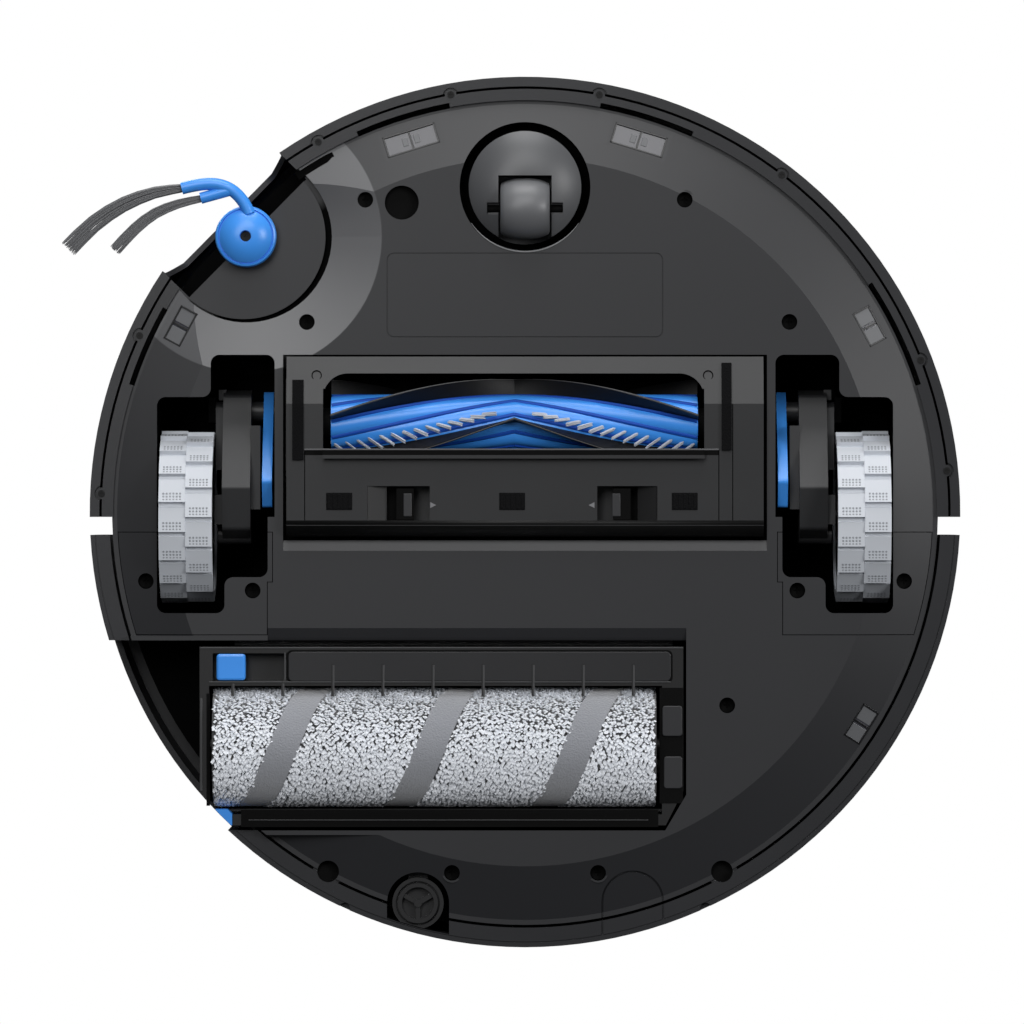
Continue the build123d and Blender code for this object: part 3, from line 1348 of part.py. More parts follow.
with BuildPart() as brush_cover:
    with BuildSketch(Plane.YZ.offset(-cover_half_x)):
        with BuildLine():
            Polyline((cover_front_y, cover_ramp_z), (cover_ramp_y, cover_z), (cover_rear_y, cover_z),
                     (cover_rear_y, cover_top), (cover_ramp_y, cover_top),
                     (cover_front_y, cover_ramp_z + cover_thick),
                     close=True)
        make_face()
    extrude(amount=2 * cover_half_x)
    # Rim that stands up inside the bay, open where the brush's gearbox stands
    rim_inner_x = cover_half_x - cover_rim_wall
    cover_rim = block(-cover_half_x, cover_half_x, cover_front_y, cover_rear_y, cover_z + 1, cover_rim_z)
    cover_rim -= block(-rim_inner_x, rim_inner_x, cover_front_y + cover_rim_wall,
                       cover_rear_y - cover_rim_wall, 0,
                       deck_z)
    cover_rim -= block(-cover_half_x - 1, -rim_inner_x, brush_y - 18.5, chamber_rear_y, 0, deck_z)
    ramp_room = block(-cover_half_x, cover_half_x, cover_front_y, cover_ramp_y, 0, cover_ramp_z)
    add(cover_rim - ramp_room)
    add([latch_pocket(ends, 1.2, cover_top, latch_roof_z + 1.2) for ends in (latch_left, latch_right)])
    with BuildSketch():
        with Locations(((mouth_left_x + mouth_right_x) / 2, (mouth_front_y + mouth_rear_y) / 2)):
            Rectangle(mouth_right_x - mouth_left_x, mouth_rear_y - mouth_front_y)
        fillet(vertices().group_by(Axis.Y)[0], mouth_corner)
    extrude(amount=cover_rim_z, mode=Mode.SUBTRACT)
    add([latch_pocket(ends, 0, 0, latch_roof_z) for ends in (latch_left, latch_right)], mode=Mode.SUBTRACT)
    # Curved lip behind the brush
    with BuildSketch(Plane.YZ.offset(mouth_left_x)):
        with Locations((brush_y, brush_z)):
            Circle(lip_outer)
        with Locations(((lip_tip_y + mouth_rear_y + lip_wall) / 2, cover_top / 2)):
            Rectangle(mouth_rear_y + lip_wall - lip_tip_y, cover_top, mode=Mode.INTERSECT)
    extrude(amount=mouth_right_x - mouth_left_x)
    add(bar(mouth_left_x, mouth_right_x, brush_y, brush_z, lip_inner), mode=Mode.SUBTRACT)
    # Openings for the bolts in the outer ends of the pockets
    for ends, side in ((latch_left, -1), (latch_right, 1)):
        outer = ends[0] if side < 0 else ends[1]
        add(block(outer - 1.5, outer + 1.5, latch_y - bolt_half_width - slide_gap,
                  latch_y + bolt_half_width + slide_gap,
                  bolt_low_z - slide_gap, bolt_high_z + slide_gap), mode=Mode.SUBTRACT)
brush_cover.part.label = "brush_cover"
export_step(brush_cover.part, "parts/brush_cover.step")

with BuildPart() as brush_edge_seals:
    for x0, x1, y0, y1 in (seal_left, seal_right):
        front_z = cover_z + (cover_ramp_z - cover_z) * (cover_ramp_y - y0) / (cover_ramp_y - cover_front_y)
        with BuildSketch(Plane.YZ.offset(x0)):
            with BuildLine():
                Polyline((y0, front_z), (cover_ramp_y, cover_z), (y1, cover_z), (y1, cover_z - seal_drop),
                         (cover_ramp_y, cover_z - seal_drop), (y0, front_z - seal_drop), close=True)
            make_face()
        extrude(amount=x1 - x0)
brush_edge_seals.part.label = "brush_edge_seals"
export_step(brush_edge_seals.part, "parts/brush_edge_seals.step")

for name, ends, side in (("left", latch_left, -1), ("right", latch_right, 1)):
    with BuildPart() as brush_latch:
        outer = ends[0] if side < 0 else ends[1]
        inner = ends[1] if side < 0 else ends[0]
        thumb = inner + side * (latch_travel + latch_width + 1.5)
        add(block(thumb, thumb - side * latch_width, latch_front_y + 1, latch_rear_y - 1, cover_z + 0.3,
                  bolt_low_z))
        add(block(outer - side * slide_gap, thumb - side * latch_width, latch_front_y + slide_gap,
                  latch_rear_y - slide_gap, bolt_low_z, latch_roof_z - slide_gap))
        add(block(outer - side, outer + side * bolt_length, latch_y - bolt_half_width,
                  latch_y + bolt_half_width,
                  bolt_low_z, bolt_high_z))
    brush_latch.part.label = f"brush_latch_{name}"
    export_step(brush_latch.part, f"parts/brush_latch_{name}.step")

# ---------------------------------------------------------------------------------- roller mop

mop_front_clear = mop_bay_front_y + 0.4

with BuildPart() as mop_lifter:
    add(block(lifter_left_x, lifter_right_x, mop_front_clear, mop_front_clear + lifter_wall, lifter_low_z,
              lifter_high_z))
    add(block(lifter_left_x + 8, lifter_right_x - 20, mop_front_clear + lifter_wall,
              frame_front_y + rail_reach,
              rail_low_z, rail_high_z))
    for x in lifter_ribs:
        add(block(x - lifter_rib / 2, x + lifter_rib / 2, mop_bay_front_y - lifter_rib_depth + slide_gap,
                  mop_front_clear, lifter_low_z, lifter_high_z))
mop_lifter.part.label = "mop_lifter"
export_step(mop_lifter.part, "parts/mop_lifter.step")

with BuildPart() as mop_frame:
    with BuildSketch(Plane.XY.offset(frame_bottom_z)):
        with BuildLine():
            Polyline(
                (frame_left_x, frame_front_y),
                (frame_right_x, frame_front_y),
                (frame_right_x, mop_bay_rear_y - 1.7 * mop_corner - 1.5),
                (frame_right_x - mop_corner + 1.4, frame_rear_y),
                (frame_left_x, frame_rear_y),
                close=True,
            )
        make_face()
        Circle(frame_radius, mode=Mode.INTERSECT)
    extrude(amount=frame_top_z - frame_bottom_z)
    # Room for the roller between the end plates, and above the two bars
    left_x = frame_left_x + frame_end_wall
    right_x = roller_right_x + 2.4
    add([block(left_x, right_x, channel_rear_y, rear_bar_y, 0, frame_top_z + 1),
         block(left_x, right_x, rear_bar_y - 1, frame_rear_y + 1, rear_bar_top_z, frame_top_z + 1),
         block(left_x, right_x, frame_front_y - 1, channel_rear_y + 1, channel_top_z, frame_top_z + 1),
         # Water channel, open at the top, and the groove for the lifter's rail
         block(release_slot[1] + 2, right_x - 2, frame_front_y + 4.4, channel_rear_y - 1.6,
               frame_bottom_z + 2.4,
               channel_top_z + 1),
         block(frame_left_x - 1, frame_right_x + 1, frame_front_y - 1, frame_front_y + rail_reach + slide_gap,
               rail_low_z - slide_gap, rail_high_z + slide_gap),
         # Slot of the release button
         block(release_slot[0], release_slot[1], release_y[0], release_y[1], 0, frame_bottom_z + 7.5),
         # Corner for the pull tab
         block(frame_left_x - 1, tab_right_x + 0.2, tab_y - 0.2, frame_rear_y + 1, 0, frame_top_z + 1)],
        mode=Mode.SUBTRACT)
    # Comb teeth that reach to the roller
    for k in range(comb_teeth):
        x = comb_left_x + k * comb_pitch
        front_y = comb_front_y if x > release_slot[1] else short_comb_front_y
        add(block(x - 0.6, x + 0.6, front_y, comb_reach_y, frame_bottom_z - 0.6, frame_bottom_z + 0.4))
    # Hood over the roller, from the channel to the rear bar
    with BuildSketch(Plane.YZ.offset(left_x)):
        with Locations((roller_y, roller_z)):
            Circle(hood_radius)
            Circle(hood_radius - hood_wall, mode=Mode.SUBTRACT)
        with Locations((roller_y, roller_z + 1.5 * roller_radius)):
            Rectangle(4 * roller_radius, 3 * roller_radius + 5, mode=Mode.INTERSECT)
    hood_sheet = extrude(amount=right_x - left_x, mode=Mode.PRIVATE)
    add(hood_sheet & post(0, 0, frame_radius, 0, deck_z))
    add(block(hood_left_x, right_x, rear_bar_y, roller_y + hood_radius + 1.4, rear_bar_top_z - 1,
              roller_z + 1))
    add(bar(frame_left_x - 1, frame_right_x - 2, roller_y, roller_z, roller_journal_radius + running),
        mode=Mode.SUBTRACT)
mop_frame.part.label = "mop_frame"
export_step(mop_frame.part, "parts/mop_frame.step")

with BuildPart() as mop_pull_tab:
    with BuildSketch(Plane.XY.offset(frame_bottom_z)):
        add(plan_box(-frame_radius, tab_right_x, tab_y, frame_rear_y, frame_radius))
        Circle(frame_radius - 3.6, mode=Mode.SUBTRACT)
    extrude(amount=rear_bar_top_z - frame_bottom_z)
mop_pull_tab.part.label = "mop_pull_tab"
export_step(mop_pull_tab.part, "parts/mop_pull_tab.step")

with BuildPart() as mop_release_button:
    add(block(release_slot[0] + 1.5, release_slot[0] + 1.5 + release_width, release_y[0] + slide_gap,
              release_y[1] - slide_gap, frame_bottom_z - 0.5, frame_bottom_z + 7.5 - slide_gap))
mop_release_button.part.label = "mop_release_button"
export_step(mop_release_button.part, "parts/mop_release_button.step")

with BuildPart() as mop_roller_core:
    add(bar(roller_left_x, roller_right_x, roller_y, roller_z, roller_core_radius))
    add(bar(roller_left_x + 4, roller_right_x - 4, roller_y, roller_z, roller_core_radius - 2.4),
        mode=Mode.SUBTRACT)
    add(bar(frame_left_x + 0.6, roller_left_x, roller_y, roller_z, roller_journal_radius))
    add(bar(roller_right_x, frame_right_x - 2.6, roller_y, roller_z, roller_journal_radius))
mop_roller_core.part.label = "mop_roller_core"
export_step(mop_roller_core.part, "parts/mop_roller_core.step")

with BuildPart() as mop_sleeve:
    add(bar(roller_left_x, roller_right_x, roller_y, roller_z, roller_radius))
    add(bar(roller_left_x - 1, roller_right_x + 1, roller_y, roller_z, roller_core_radius + running),
        mode=Mode.SUBTRACT)
mop_sleeve.part.label = "mop_sleeve"
export_step(mop_sleeve.part, "parts/mop_sleeve.step")

# ------------------------------------------------------------- small pieces of the underside

with BuildPart() as cliff_sensor_windows:
    for x, y, along, across in cliff_windows:
        add(surface_block(x, y, along, across, -cliff_sink, cliff_sink + cliff_glass))
cliff_sensor_windows.part.label = "cliff_sensor_windows"
export_step(cliff_sensor_windows.part, "parts/cliff_sensor_windows.step")

with BuildPart() as carpet_sensor:
    add(post(carpet_x, carpet_y, carpet_radius - 0.2, belly_z + carpet_depth, belly_inner_z + carpet_height))
    add(post(carpet_x, carpet_y, carpet_radius + carpet_flange, belly_inner_z + carpet_lift,
             belly_inner_z + carpet_height))
carpet_sensor.part.label = "carpet_sensor"
export_step(carpet_sensor.part, "parts/carpet_sensor.step")

with BuildPart() as chassis_screws:
    add([screw(x, y, z) for x, y, z in screw_places])
    add([screw(side * x, y, z) for x, y, z in plate_screw_places for side in (-1, 1)])
chassis_screws.part.label = "chassis_screws"
export_step(chassis_screws.part, "parts/chassis_screws.step")

with BuildPart() as water_port:
    port_z = flange_z - 1
    add(post(port_x, port_y, port_radius, port_z, port_z + 3) - post(port_x, port_y, port_core_radius + 0.8,
                                                                     0, deck_z))
    add(post(port_x, port_y, port_core_radius, port_z - 1.4, port_z + 8)
        - post(port_x, port_y, port_core_radius - 1.6, 0, port_z + 6.4))
    add(post(port_x, port_y, port_core_radius + 1, port_z + 1.6, port_z + 3))
    for k in range(3):
        with BuildSketch(Plane.XY.offset(port_z - 0.8)):
            with Locations((port_x, port_y)):
                with PolarLocations(port_core_radius / 2 - 0.4, 1, start_angle=90 + 120 * k):
                    Rectangle(port_core_radius - 1.2, 1.8)
        extrude(amount=4)
    add(post(port_x, port_y, 1.6, port_z - 1.4, port_z + 4))
    # Tongue that holds the port on the notch's front edge
    add(block(port_x - 4, port_x + 4, port_y - port_radius - port_gap - 3, port_y - port_core_radius + 1,
              flange_inner_z + 0.1,
              flange_inner_z + 2))
    add(post(0, 0, body_radius - skin_wall - seam, 0, deck_z), mode=Mode.INTERSECT)
water_port.part.label = "water_port"
export_step(water_port.part, "parts/water_port.step")

# ---------------------------------------------------------------------------- inside the body

with BuildPart() as battery_pack:
    add(block(-battery_half_x, battery_half_x, battery_front_y, battery_rear_y, belly_inner_z, battery_top_z))
    fillet(edges().filter_by(Axis.X), 3)
    add(block(battery_half_x - 18, battery_half_x - 4, battery_rear_y - 9, battery_rear_y - 2,
              battery_top_z - 2,
              battery_top_z + 4))
battery_pack.part.label = "battery_pack"
export_step(battery_pack.part, "parts/battery_pack.step")

with BuildPart() as main_board:
    add(block(-board_half_x, board_half_x, board_front_y, board_rear_y, board_z, board_z + board_thick))
    board_top_z = board_z + board_thick
    add(block(-12, 6, board_front_y + 4, board_rear_y - 4, board_top_z, board_top_z + 2.4))
    add(block(22, 32, board_front_y + 5, board_rear_y - 9, board_top_z, board_top_z + 1.6))
    for x in (-board_half_x + 16, -board_half_x + 34, board_half_x - 30, board_half_x - 14):
        add(block(x - 6, x + 6, board_front_y + 1, board_front_y + 7, board_top_z, board_top_z + 6))
main_board.part.label = "main_board"
export_step(main_board.part, "parts/main_board.step")

with BuildPart() as fan_housing:
    add(post(fan_x, fan_y, fan_radius, belly_inner_z + fan_lift, fan_top_z))
    add(block(duct_left_x, duct_right_x, duct_front_y, fan_y, duct_low_z, duct_high_z))
    add(post(fan_x, fan_y, fan_radius - fan_wall, belly_inner_z + fan_lift + fan_wall, fan_top_z - fan_wall),
        mode=Mode.SUBTRACT)
    add(block(duct_left_x - 1, duct_right_x - fan_wall, duct_front_y + fan_wall, fan_y - fan_wall,
              duct_low_z + fan_wall,
              duct_high_z - fan_wall), mode=Mode.SUBTRACT)
    # Feet that stand on the underside's inner face, and the spindle the impeller turns on
    for x, y in ((fan_x - 14, fan_y + 14), (fan_x + 13, fan_y - 12), (fan_x - 8, fan_y - 20)):
        add(post(x, y, 3.5, belly_inner_z, belly_inner_z + fan_lift))
    add(post(fan_x, fan_y, fan_spindle, belly_inner_z + fan_lift + fan_wall, fan_top_z - fan_wall))
    # Outlet towards the exhaust slots
    add(block(fan_x + fan_radius * 0.6, fan_x + fan_radius + 2, fan_y - 9, fan_y + 9, duct_low_z + fan_wall,
              duct_high_z - fan_wall), mode=Mode.SUBTRACT)
fan_housing.part.label = "fan_housing"
export_step(fan_housing.part, "parts/fan_housing.step")

with BuildPart() as fan_impeller:
    impeller_z = duct_low_z + 1
    add(post(fan_x, fan_y, fan_radius - fan_wall - 1.5, impeller_z, impeller_z + 1.6))
    add(post(fan_x, fan_y, fan_spindle + 2.5, impeller_z, impeller_z + 14))
    for k in range(9):
        with BuildSketch(Plane.XY.offset(impeller_z)):
            with Locations((fan_x, fan_y)):
                with PolarLocations((fan_radius - fan_wall) / 2, 1, start_angle=40 * k):
                    Rectangle(fan_radius - fan_wall - 6, 1.2, rotation=28)
        extrude(amount=12)
    add(post(fan_x, fan_y, fan_spindle + running, 0, deck_z), mode=Mode.SUBTRACT)
fan_impeller.part.label = "fan_impeller"
export_step(fan_impeller.part, "parts/fan_impeller.step")

with BuildPart() as clean_water_tank:
    with BuildSketch(Plane.XY.offset(mop_bay_top_z + mop_bay_wall)):
        add(plan_box(tank_left_x, tank_right_x, mop_bay_front_y, mop_bay_rear_y,
                     chassis_radius - chassis_wall - 0.5))
        fillet(vertices(), 4)
    extrude(amount=deck_z - mop_bay_top_z - mop_bay_wall - 0.2)
    with BuildSketch(Plane.XY.offset(mop_bay_top_z + mop_bay_wall + tank_wall)):
        add(plan_box(tank_left_x + tank_wall, tank_right_x - tank_wall, mop_bay_front_y + tank_wall,
                     mop_bay_rear_y - tank_wall, chassis_radius - chassis_wall - 0.5 - tank_wall))
        fillet(vertices(), 3)
    extrude(amount=deck_z - mop_bay_top_z - mop_bay_wall - 0.2 - 2 * tank_wall, mode=Mode.SUBTRACT)
clean_water_tank.part.label = "clean_water_tank"
export_step(clean_water_tank.part, "parts/clean_water_tank.step")

with BuildPart() as dirty_water_tank:
    add(block(dirty_left_x, dirty_right_x, mop_bay_rear_y + mop_bay_wall + 0.2, dirty_rear_y, dirty_low_z,
              deck_z - 0.2))
    fillet(edges().filter_by(Axis.Z), 3)
    add(block(dirty_left_x + tank_wall, dirty_right_x - tank_wall,
              mop_bay_rear_y + mop_bay_wall + 0.2 + tank_wall,
              dirty_rear_y - tank_wall, dirty_low_z + tank_wall, deck_z - 0.2 - tank_wall),
        mode=Mode.SUBTRACT)
dirty_water_tank.part.label = "dirty_water_tank"
export_step(dirty_water_tank.part, "parts/dirty_water_tank.step")

with BuildPart() as water_pump:
    add(block(pump_left_x, pump_right_x, mop_bay_rear_y + mop_bay_wall + 0.2, pump_rear_y, pump_low_z,
              pump_low_z + 20))
    pump_x = (pump_left_x + pump_right_x) / 2
    add(post(pump_x, (mop_bay_rear_y + mop_bay_wall + pump_rear_y) / 2, 6, pump_low_z + 20, pump_low_z + 36))
water_pump.part.label = "water_pump"
export_step(water_pump.part, "parts/water_pump.step")

# --------------------------------------------------------------------- dust bin, top and tower

bin_low_z = belly_inner_z + seam

with BuildPart() as dust_bin:
    add(block(-bin_half_x, bin_half_x, bin_front_y, bin_rear_y, bin_low_z, bin_top_z))
    fillet(edges().filter_by(Axis.Z), 4)
    add(block(-bin_half_x + bin_wall, bin_half_x - bin_wall, bin_front_y + bin_wall, bin_rear_y - bin_wall,
              bin_low_z + bin_wall, bin_top_z - bin_wall), mode=Mode.SUBTRACT)
    # Mouth towards the brush chamber, and the window behind the filter
    add(block(-bin_mouth_half_x, bin_mouth_half_x, bin_front_y - 1, bin_front_y + bin_wall + 1, bin_low_z + 6,
              bin_low_z + 24), mode=Mode.SUBTRACT)
    add(block(bin_half_x - bin_wall - 1, bin_half_x + 1, bin_front_y + 6, bin_rear_y - 6, duct_low_z + 3,
              duct_high_z - 3), mode=Mode.SUBTRACT)
    # Carrying handle on top
    add(block(-22, 22, (bin_front_y + bin_rear_y) / 2 - 3, (bin_front_y + bin_rear_y) / 2 + 3, bin_top_z,
              bin_top_z + 9))
    add(block(-18, 18, bin_front_y, bin_rear_y, bin_top_z, bin_top_z + 5.5), mode=Mode.SUBTRACT)
dust_bin.part.label = "dust_bin"
export_step(dust_bin.part, "parts/dust_bin.step")

with BuildPart() as dust_filter:
    filter_x = bin_half_x - bin_wall
    add(block(filter_x - filter_thick, filter_x, bin_front_y + 4, bin_rear_y - 4, duct_low_z, duct_high_z))
dust_filter.part.label = "dust_filter"
export_step(dust_filter.part, "parts/dust_filter.step")

deck_top_z = deck_z + deck_thick

with BuildPart() as lidar_turret:
    add(post(0, turret_y, turret_radius, deck_top_z, turret_low_z) - post(0, turret_y, turret_radius - 3, 0,
                                                                          deck_z * 2))
    add(post(0, turret_y, turret_radius, turret_high_z, turret_top_z))
    fillet(edges().filter_by(GeomType.CIRCLE).group_by(Axis.Z)[-1], 2)
    for k in range(5):
        with BuildSketch(Plane.XY.offset(turret_low_z - 1)):
            with Locations((0, turret_y)):
                with PolarLocations(turret_radius - 2, 1, start_angle=90 + 72 * k):
                    Rectangle(2.6, 5)
        extrude(amount=turret_high_z - turret_low_z + 2)
lidar_turret.part.label = "lidar_turret"
export_step(lidar_turret.part, "parts/lidar_turret.step")

with BuildPart() as lidar_head:
    add(post(0, turret_y, turret_radius - 5, deck_top_z + seam, turret_high_z - 0.8))
    add(post(0, turret_y, head_spindle, deck_z - 5.5, deck_top_z + seam))
    # Flat face with the two eyes
    add(block(-turret_radius, turret_radius, turret_y - turret_radius, turret_y - turret_radius + 11,
              turret_low_z - 2, turret_high_z), mode=Mode.SUBTRACT)
    for x in (-9, 9):
        eye = Pos(x, turret_y - turret_radius + 11, (turret_low_z + turret_high_z) / 2 - 0.4) * Rot(90, 0, 0)
        add(eye * Cylinder(4, 2.4, mode=Mode.PRIVATE))
lidar_head.part.label = "lidar_head"
export_step(lidar_head.part, "parts/lidar_head.step")

cover_low_z = skirt_top_z + cover_gap
cover_radius = body_radius - skirt_lean - skin_wall - cover_seam

with BuildPart() as top_cover:
    add(post(0, 0, cover_radius, cover_low_z, cover_top_z))
    fillet(edges().filter_by(GeomType.CIRCLE).group_by(Axis.Z)[-1], 3)
    add(post(0, 0, cover_radius - skin_wall - 1, 0, cover_top_z - cover_wall), mode=Mode.SUBTRACT)
    # Ring of feet that stand on the upper deck
    for k in range(6):
        x, y = on_circle(chassis_radius - rear_flange - 6, 30 + 60 * k)
        add(post(x, y, 3, deck_top_z + 0.1, cover_top_z - cover_wall))
    add(post(0, turret_y, turret_radius + seam, 0, cover_top_z + 1), mode=Mode.SUBTRACT)
    add(post(0, start_y, start_radius + slide_gap, 0, cover_top_z + 1), mode=Mode.SUBTRACT)
top_cover.part.label = "top_cover"
export_step(top_cover.part, "parts/top_cover.step")

with BuildPart() as start_button:
    flange_top_z = cover_top_z - cover_wall - slide_gap
    add(post(0, start_y, start_radius, flange_top_z - 1.2, cover_top_z + 0.6))
    add(post(0, start_y, start_radius + 2, flange_top_z - 1.2, flange_top_z))
start_button.part.label = "start_button"
export_step(start_button.part, "parts/start_button.step")
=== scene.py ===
from math import atan2, cos, pi, radians, sin
import random

import bmesh
import bpy
from mathutils import Matrix, Vector


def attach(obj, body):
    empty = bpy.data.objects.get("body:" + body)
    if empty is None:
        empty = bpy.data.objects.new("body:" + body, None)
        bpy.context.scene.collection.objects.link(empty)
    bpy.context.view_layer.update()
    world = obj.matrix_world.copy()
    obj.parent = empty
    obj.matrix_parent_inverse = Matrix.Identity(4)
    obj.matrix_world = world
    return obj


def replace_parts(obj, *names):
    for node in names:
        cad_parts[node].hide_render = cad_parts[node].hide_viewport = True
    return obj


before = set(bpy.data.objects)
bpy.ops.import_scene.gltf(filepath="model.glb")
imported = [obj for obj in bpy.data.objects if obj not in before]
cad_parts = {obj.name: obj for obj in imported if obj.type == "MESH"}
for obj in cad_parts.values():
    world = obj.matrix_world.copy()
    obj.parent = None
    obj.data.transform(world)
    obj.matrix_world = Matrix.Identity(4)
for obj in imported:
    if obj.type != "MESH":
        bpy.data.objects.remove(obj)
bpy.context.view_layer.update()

# ---------------------------------------------------------------- camera, floor and light

# The robot is looked at from straight below, its front at the top. The camera stands far off
# with a long lens, and the small shift sets the round body a little to the right.
camera_distance = 3.5
camera_data = bpy.data.cameras.new("camera")
camera_data.lens = 304.8
camera_data.sensor_width = 36.0
camera_data.shift_x = -0.0126953125
camera_data.clip_end = 50.0
camera = bpy.data.objects.new("camera", camera_data)
camera.location = (0.0, 0.0, -camera_distance)
camera.rotation_euler = (pi, 0.0, 0.0)
bpy.context.scene.collection.objects.link(camera)
bpy.context.scene.camera = camera
bpy.context.scene.view_settings.view_transform = "Standard"


def reckoned(tree, operation, *terms, kind="ShaderNodeMath", clamp=False):
    """Result of a math node whose terms are sockets or plain values."""
    node = tree.nodes.new(kind)
    node.operation = operation
    if clamp:
        node.use_clamp = True
    for socket, term in zip([socket for socket in node.inputs if socket.enabled], terms):
        if isinstance(term, bpy.types.NodeSocket):
            tree.links.new(term, socket)
        else:
            socket.default_value = term
    return next(socket for socket in node.outputs if socket.enabled)


def floor_material():
    """Pale matt floor that shows from above and is clear from below."""
    material = bpy.data.materials.new("floor_pale")
    material.use_nodes = True
    nodes, links = material.node_tree.nodes, material.node_tree.links
    surface = nodes["Principled BSDF"]
    surface.inputs["Base Color"].default_value = (0.86, 0.86, 0.86, 1)
    surface.inputs["Roughness"].default_value = 0.9
    surface.inputs["Specular IOR Level"].default_value = 0.2
    side = nodes.new("ShaderNodeNewGeometry")
    ray_kind = nodes.new("ShaderNodeLightPath")
    seen = reckoned(material.node_tree, "SUBTRACT", ray_kind.outputs["Is Camera Ray"],
                    side.outputs["Backfacing"], clamp=True)
    clear = nodes.new("ShaderNodeBsdfTransparent")
    mix = nodes.new("ShaderNodeMixShader")
    links.new(reckoned(material.node_tree, "SUBTRACT", 1.0, seen), mix.inputs["Fac"])
    links.new(surface.outputs["BSDF"], mix.inputs[1])
    links.new(clear.outputs["BSDF"], mix.inputs[2])
    links.new(mix.outputs["Shader"], nodes["Material Output"].inputs["Surface"])
    return material


floor_half = 4.0
floor_gap = 0.0006
floor_mesh = bpy.data.meshes.new("floor")
floor_mesh.from_pydata([(-floor_half, -floor_half, 0), (floor_half, -floor_half, 0),
                        (floor_half, floor_half, 0), (-floor_half, floor_half, 0)], [], [(0, 1, 2, 3)])
floor_mesh.materials.append(floor_material())
floor = bpy.data.objects.new("floor", floor_mesh)
floor.location.z = -floor_gap
bpy.context.scene.collection.objects.link(floor)

world = bpy.data.worlds.new("studio")
world.use_nodes = True
bpy.context.scene.world = world
world_nodes, world_links = world.node_tree.nodes, world.node_tree.links
room_light = world_nodes["Background"]
room_light.inputs["Color"].default_value = (0.93, 0.96, 1.0, 1)
room_light.inputs["Strength"].default_value = 0.07
seen_white = world_nodes.new("ShaderNodeBackground")
seen_white.inputs["Color"].default_value = (1, 1, 1, 1)
seen_white.inputs["Strength"].default_value = 1.0
world_ray_kind = world_nodes.new("ShaderNodeLightPath")
world_mix = world_nodes.new("ShaderNodeMixShader")
world_links.new(world_ray_kind.outputs["Is Camera Ray"], world_mix.inputs["Fac"])
world_links.new(room_light.outputs["Background"], world_mix.inputs[1])
world_links.new(seen_white.outputs["Background"], world_mix.inputs[2])
world_links.new(world_mix.outputs["Shader"], world_nodes["World Output"].inputs["Surface"])
lamp_aim = Vector((0, 0, 0.03))


def soft_lamp(name, place, size, power):
    """Square lamp that faces the middle of the robot."""
    data = bpy.data.lights.new(name, "AREA")
    data.size = size
    data.energy = power
    lamp = bpy.data.objects.new(name, data)
    lamp.location = place
    lamp.rotation_euler = (lamp_aim - Vector(place)).to_track_quat("-Z", "Y").to_euler()
    lamp.visible_camera = False
    bpy.context.scene.collection.objects.link(lamp)


soft_lamp("lamp_front", place=(0.0, -1.43, -2.05), size=1.2, power=20)
soft_lamp("lamp_front_low", place=(0.0, -1.37, -0.29), size=0.8, power=11)
soft_lamp("lamp_front_right", place=(1.45, -0.42, -1.46), size=0.7, power=14)
soft_lamp("lamp_front_left", place=(-0.58, -0.58, -2.04), size=0.7, power=8)
soft_lamp("lamp_above_front", place=(-1.2, -1.8, 2.2), size=1.8, power=45)
soft_lamp("lamp_above_rear", place=(1.6, 1.6, 1.8), size=1.8, power=22)

# --------------------------------------------------------------------- chassis and shells

# Injection-moulded black plastic with a fine spark-eroded grain, screwed together from below.
# The belly is flat out to the bevel, which rises to the rim. Painted light raises the colour and gloss
# of a shallow cone round the side brush, and painted shade darkens the holes and wells with their depth.
belly_z, rim_z = 0.011, 0.0169
bevel_start, bevel_end = 0.1435, 0.1655
side_brush_axis = (-0.11298, -0.1115)
cone_start, cone_end, cone_rise = 0.0347, 0.0549, 0.004
# Painted light on the side brush's cone, and painted shade that sets in below the surface:
cone_light_fade_in, cone_light_fade_out, cone_painted_light = (0.0345, 0.0347), (0.0546, 0.0552), 1.3
shade_start, shade_end, shade_tone = 0.0012, 0.0024, 0.05


def group_socket(group, name, kind, output=False, value=None):
    """One socket of a shader node group."""
    made = group.interface.new_socket(name=name, in_out="OUTPUT" if output else "INPUT", socket_type=kind)
    if value is not None:
        made.default_value = value


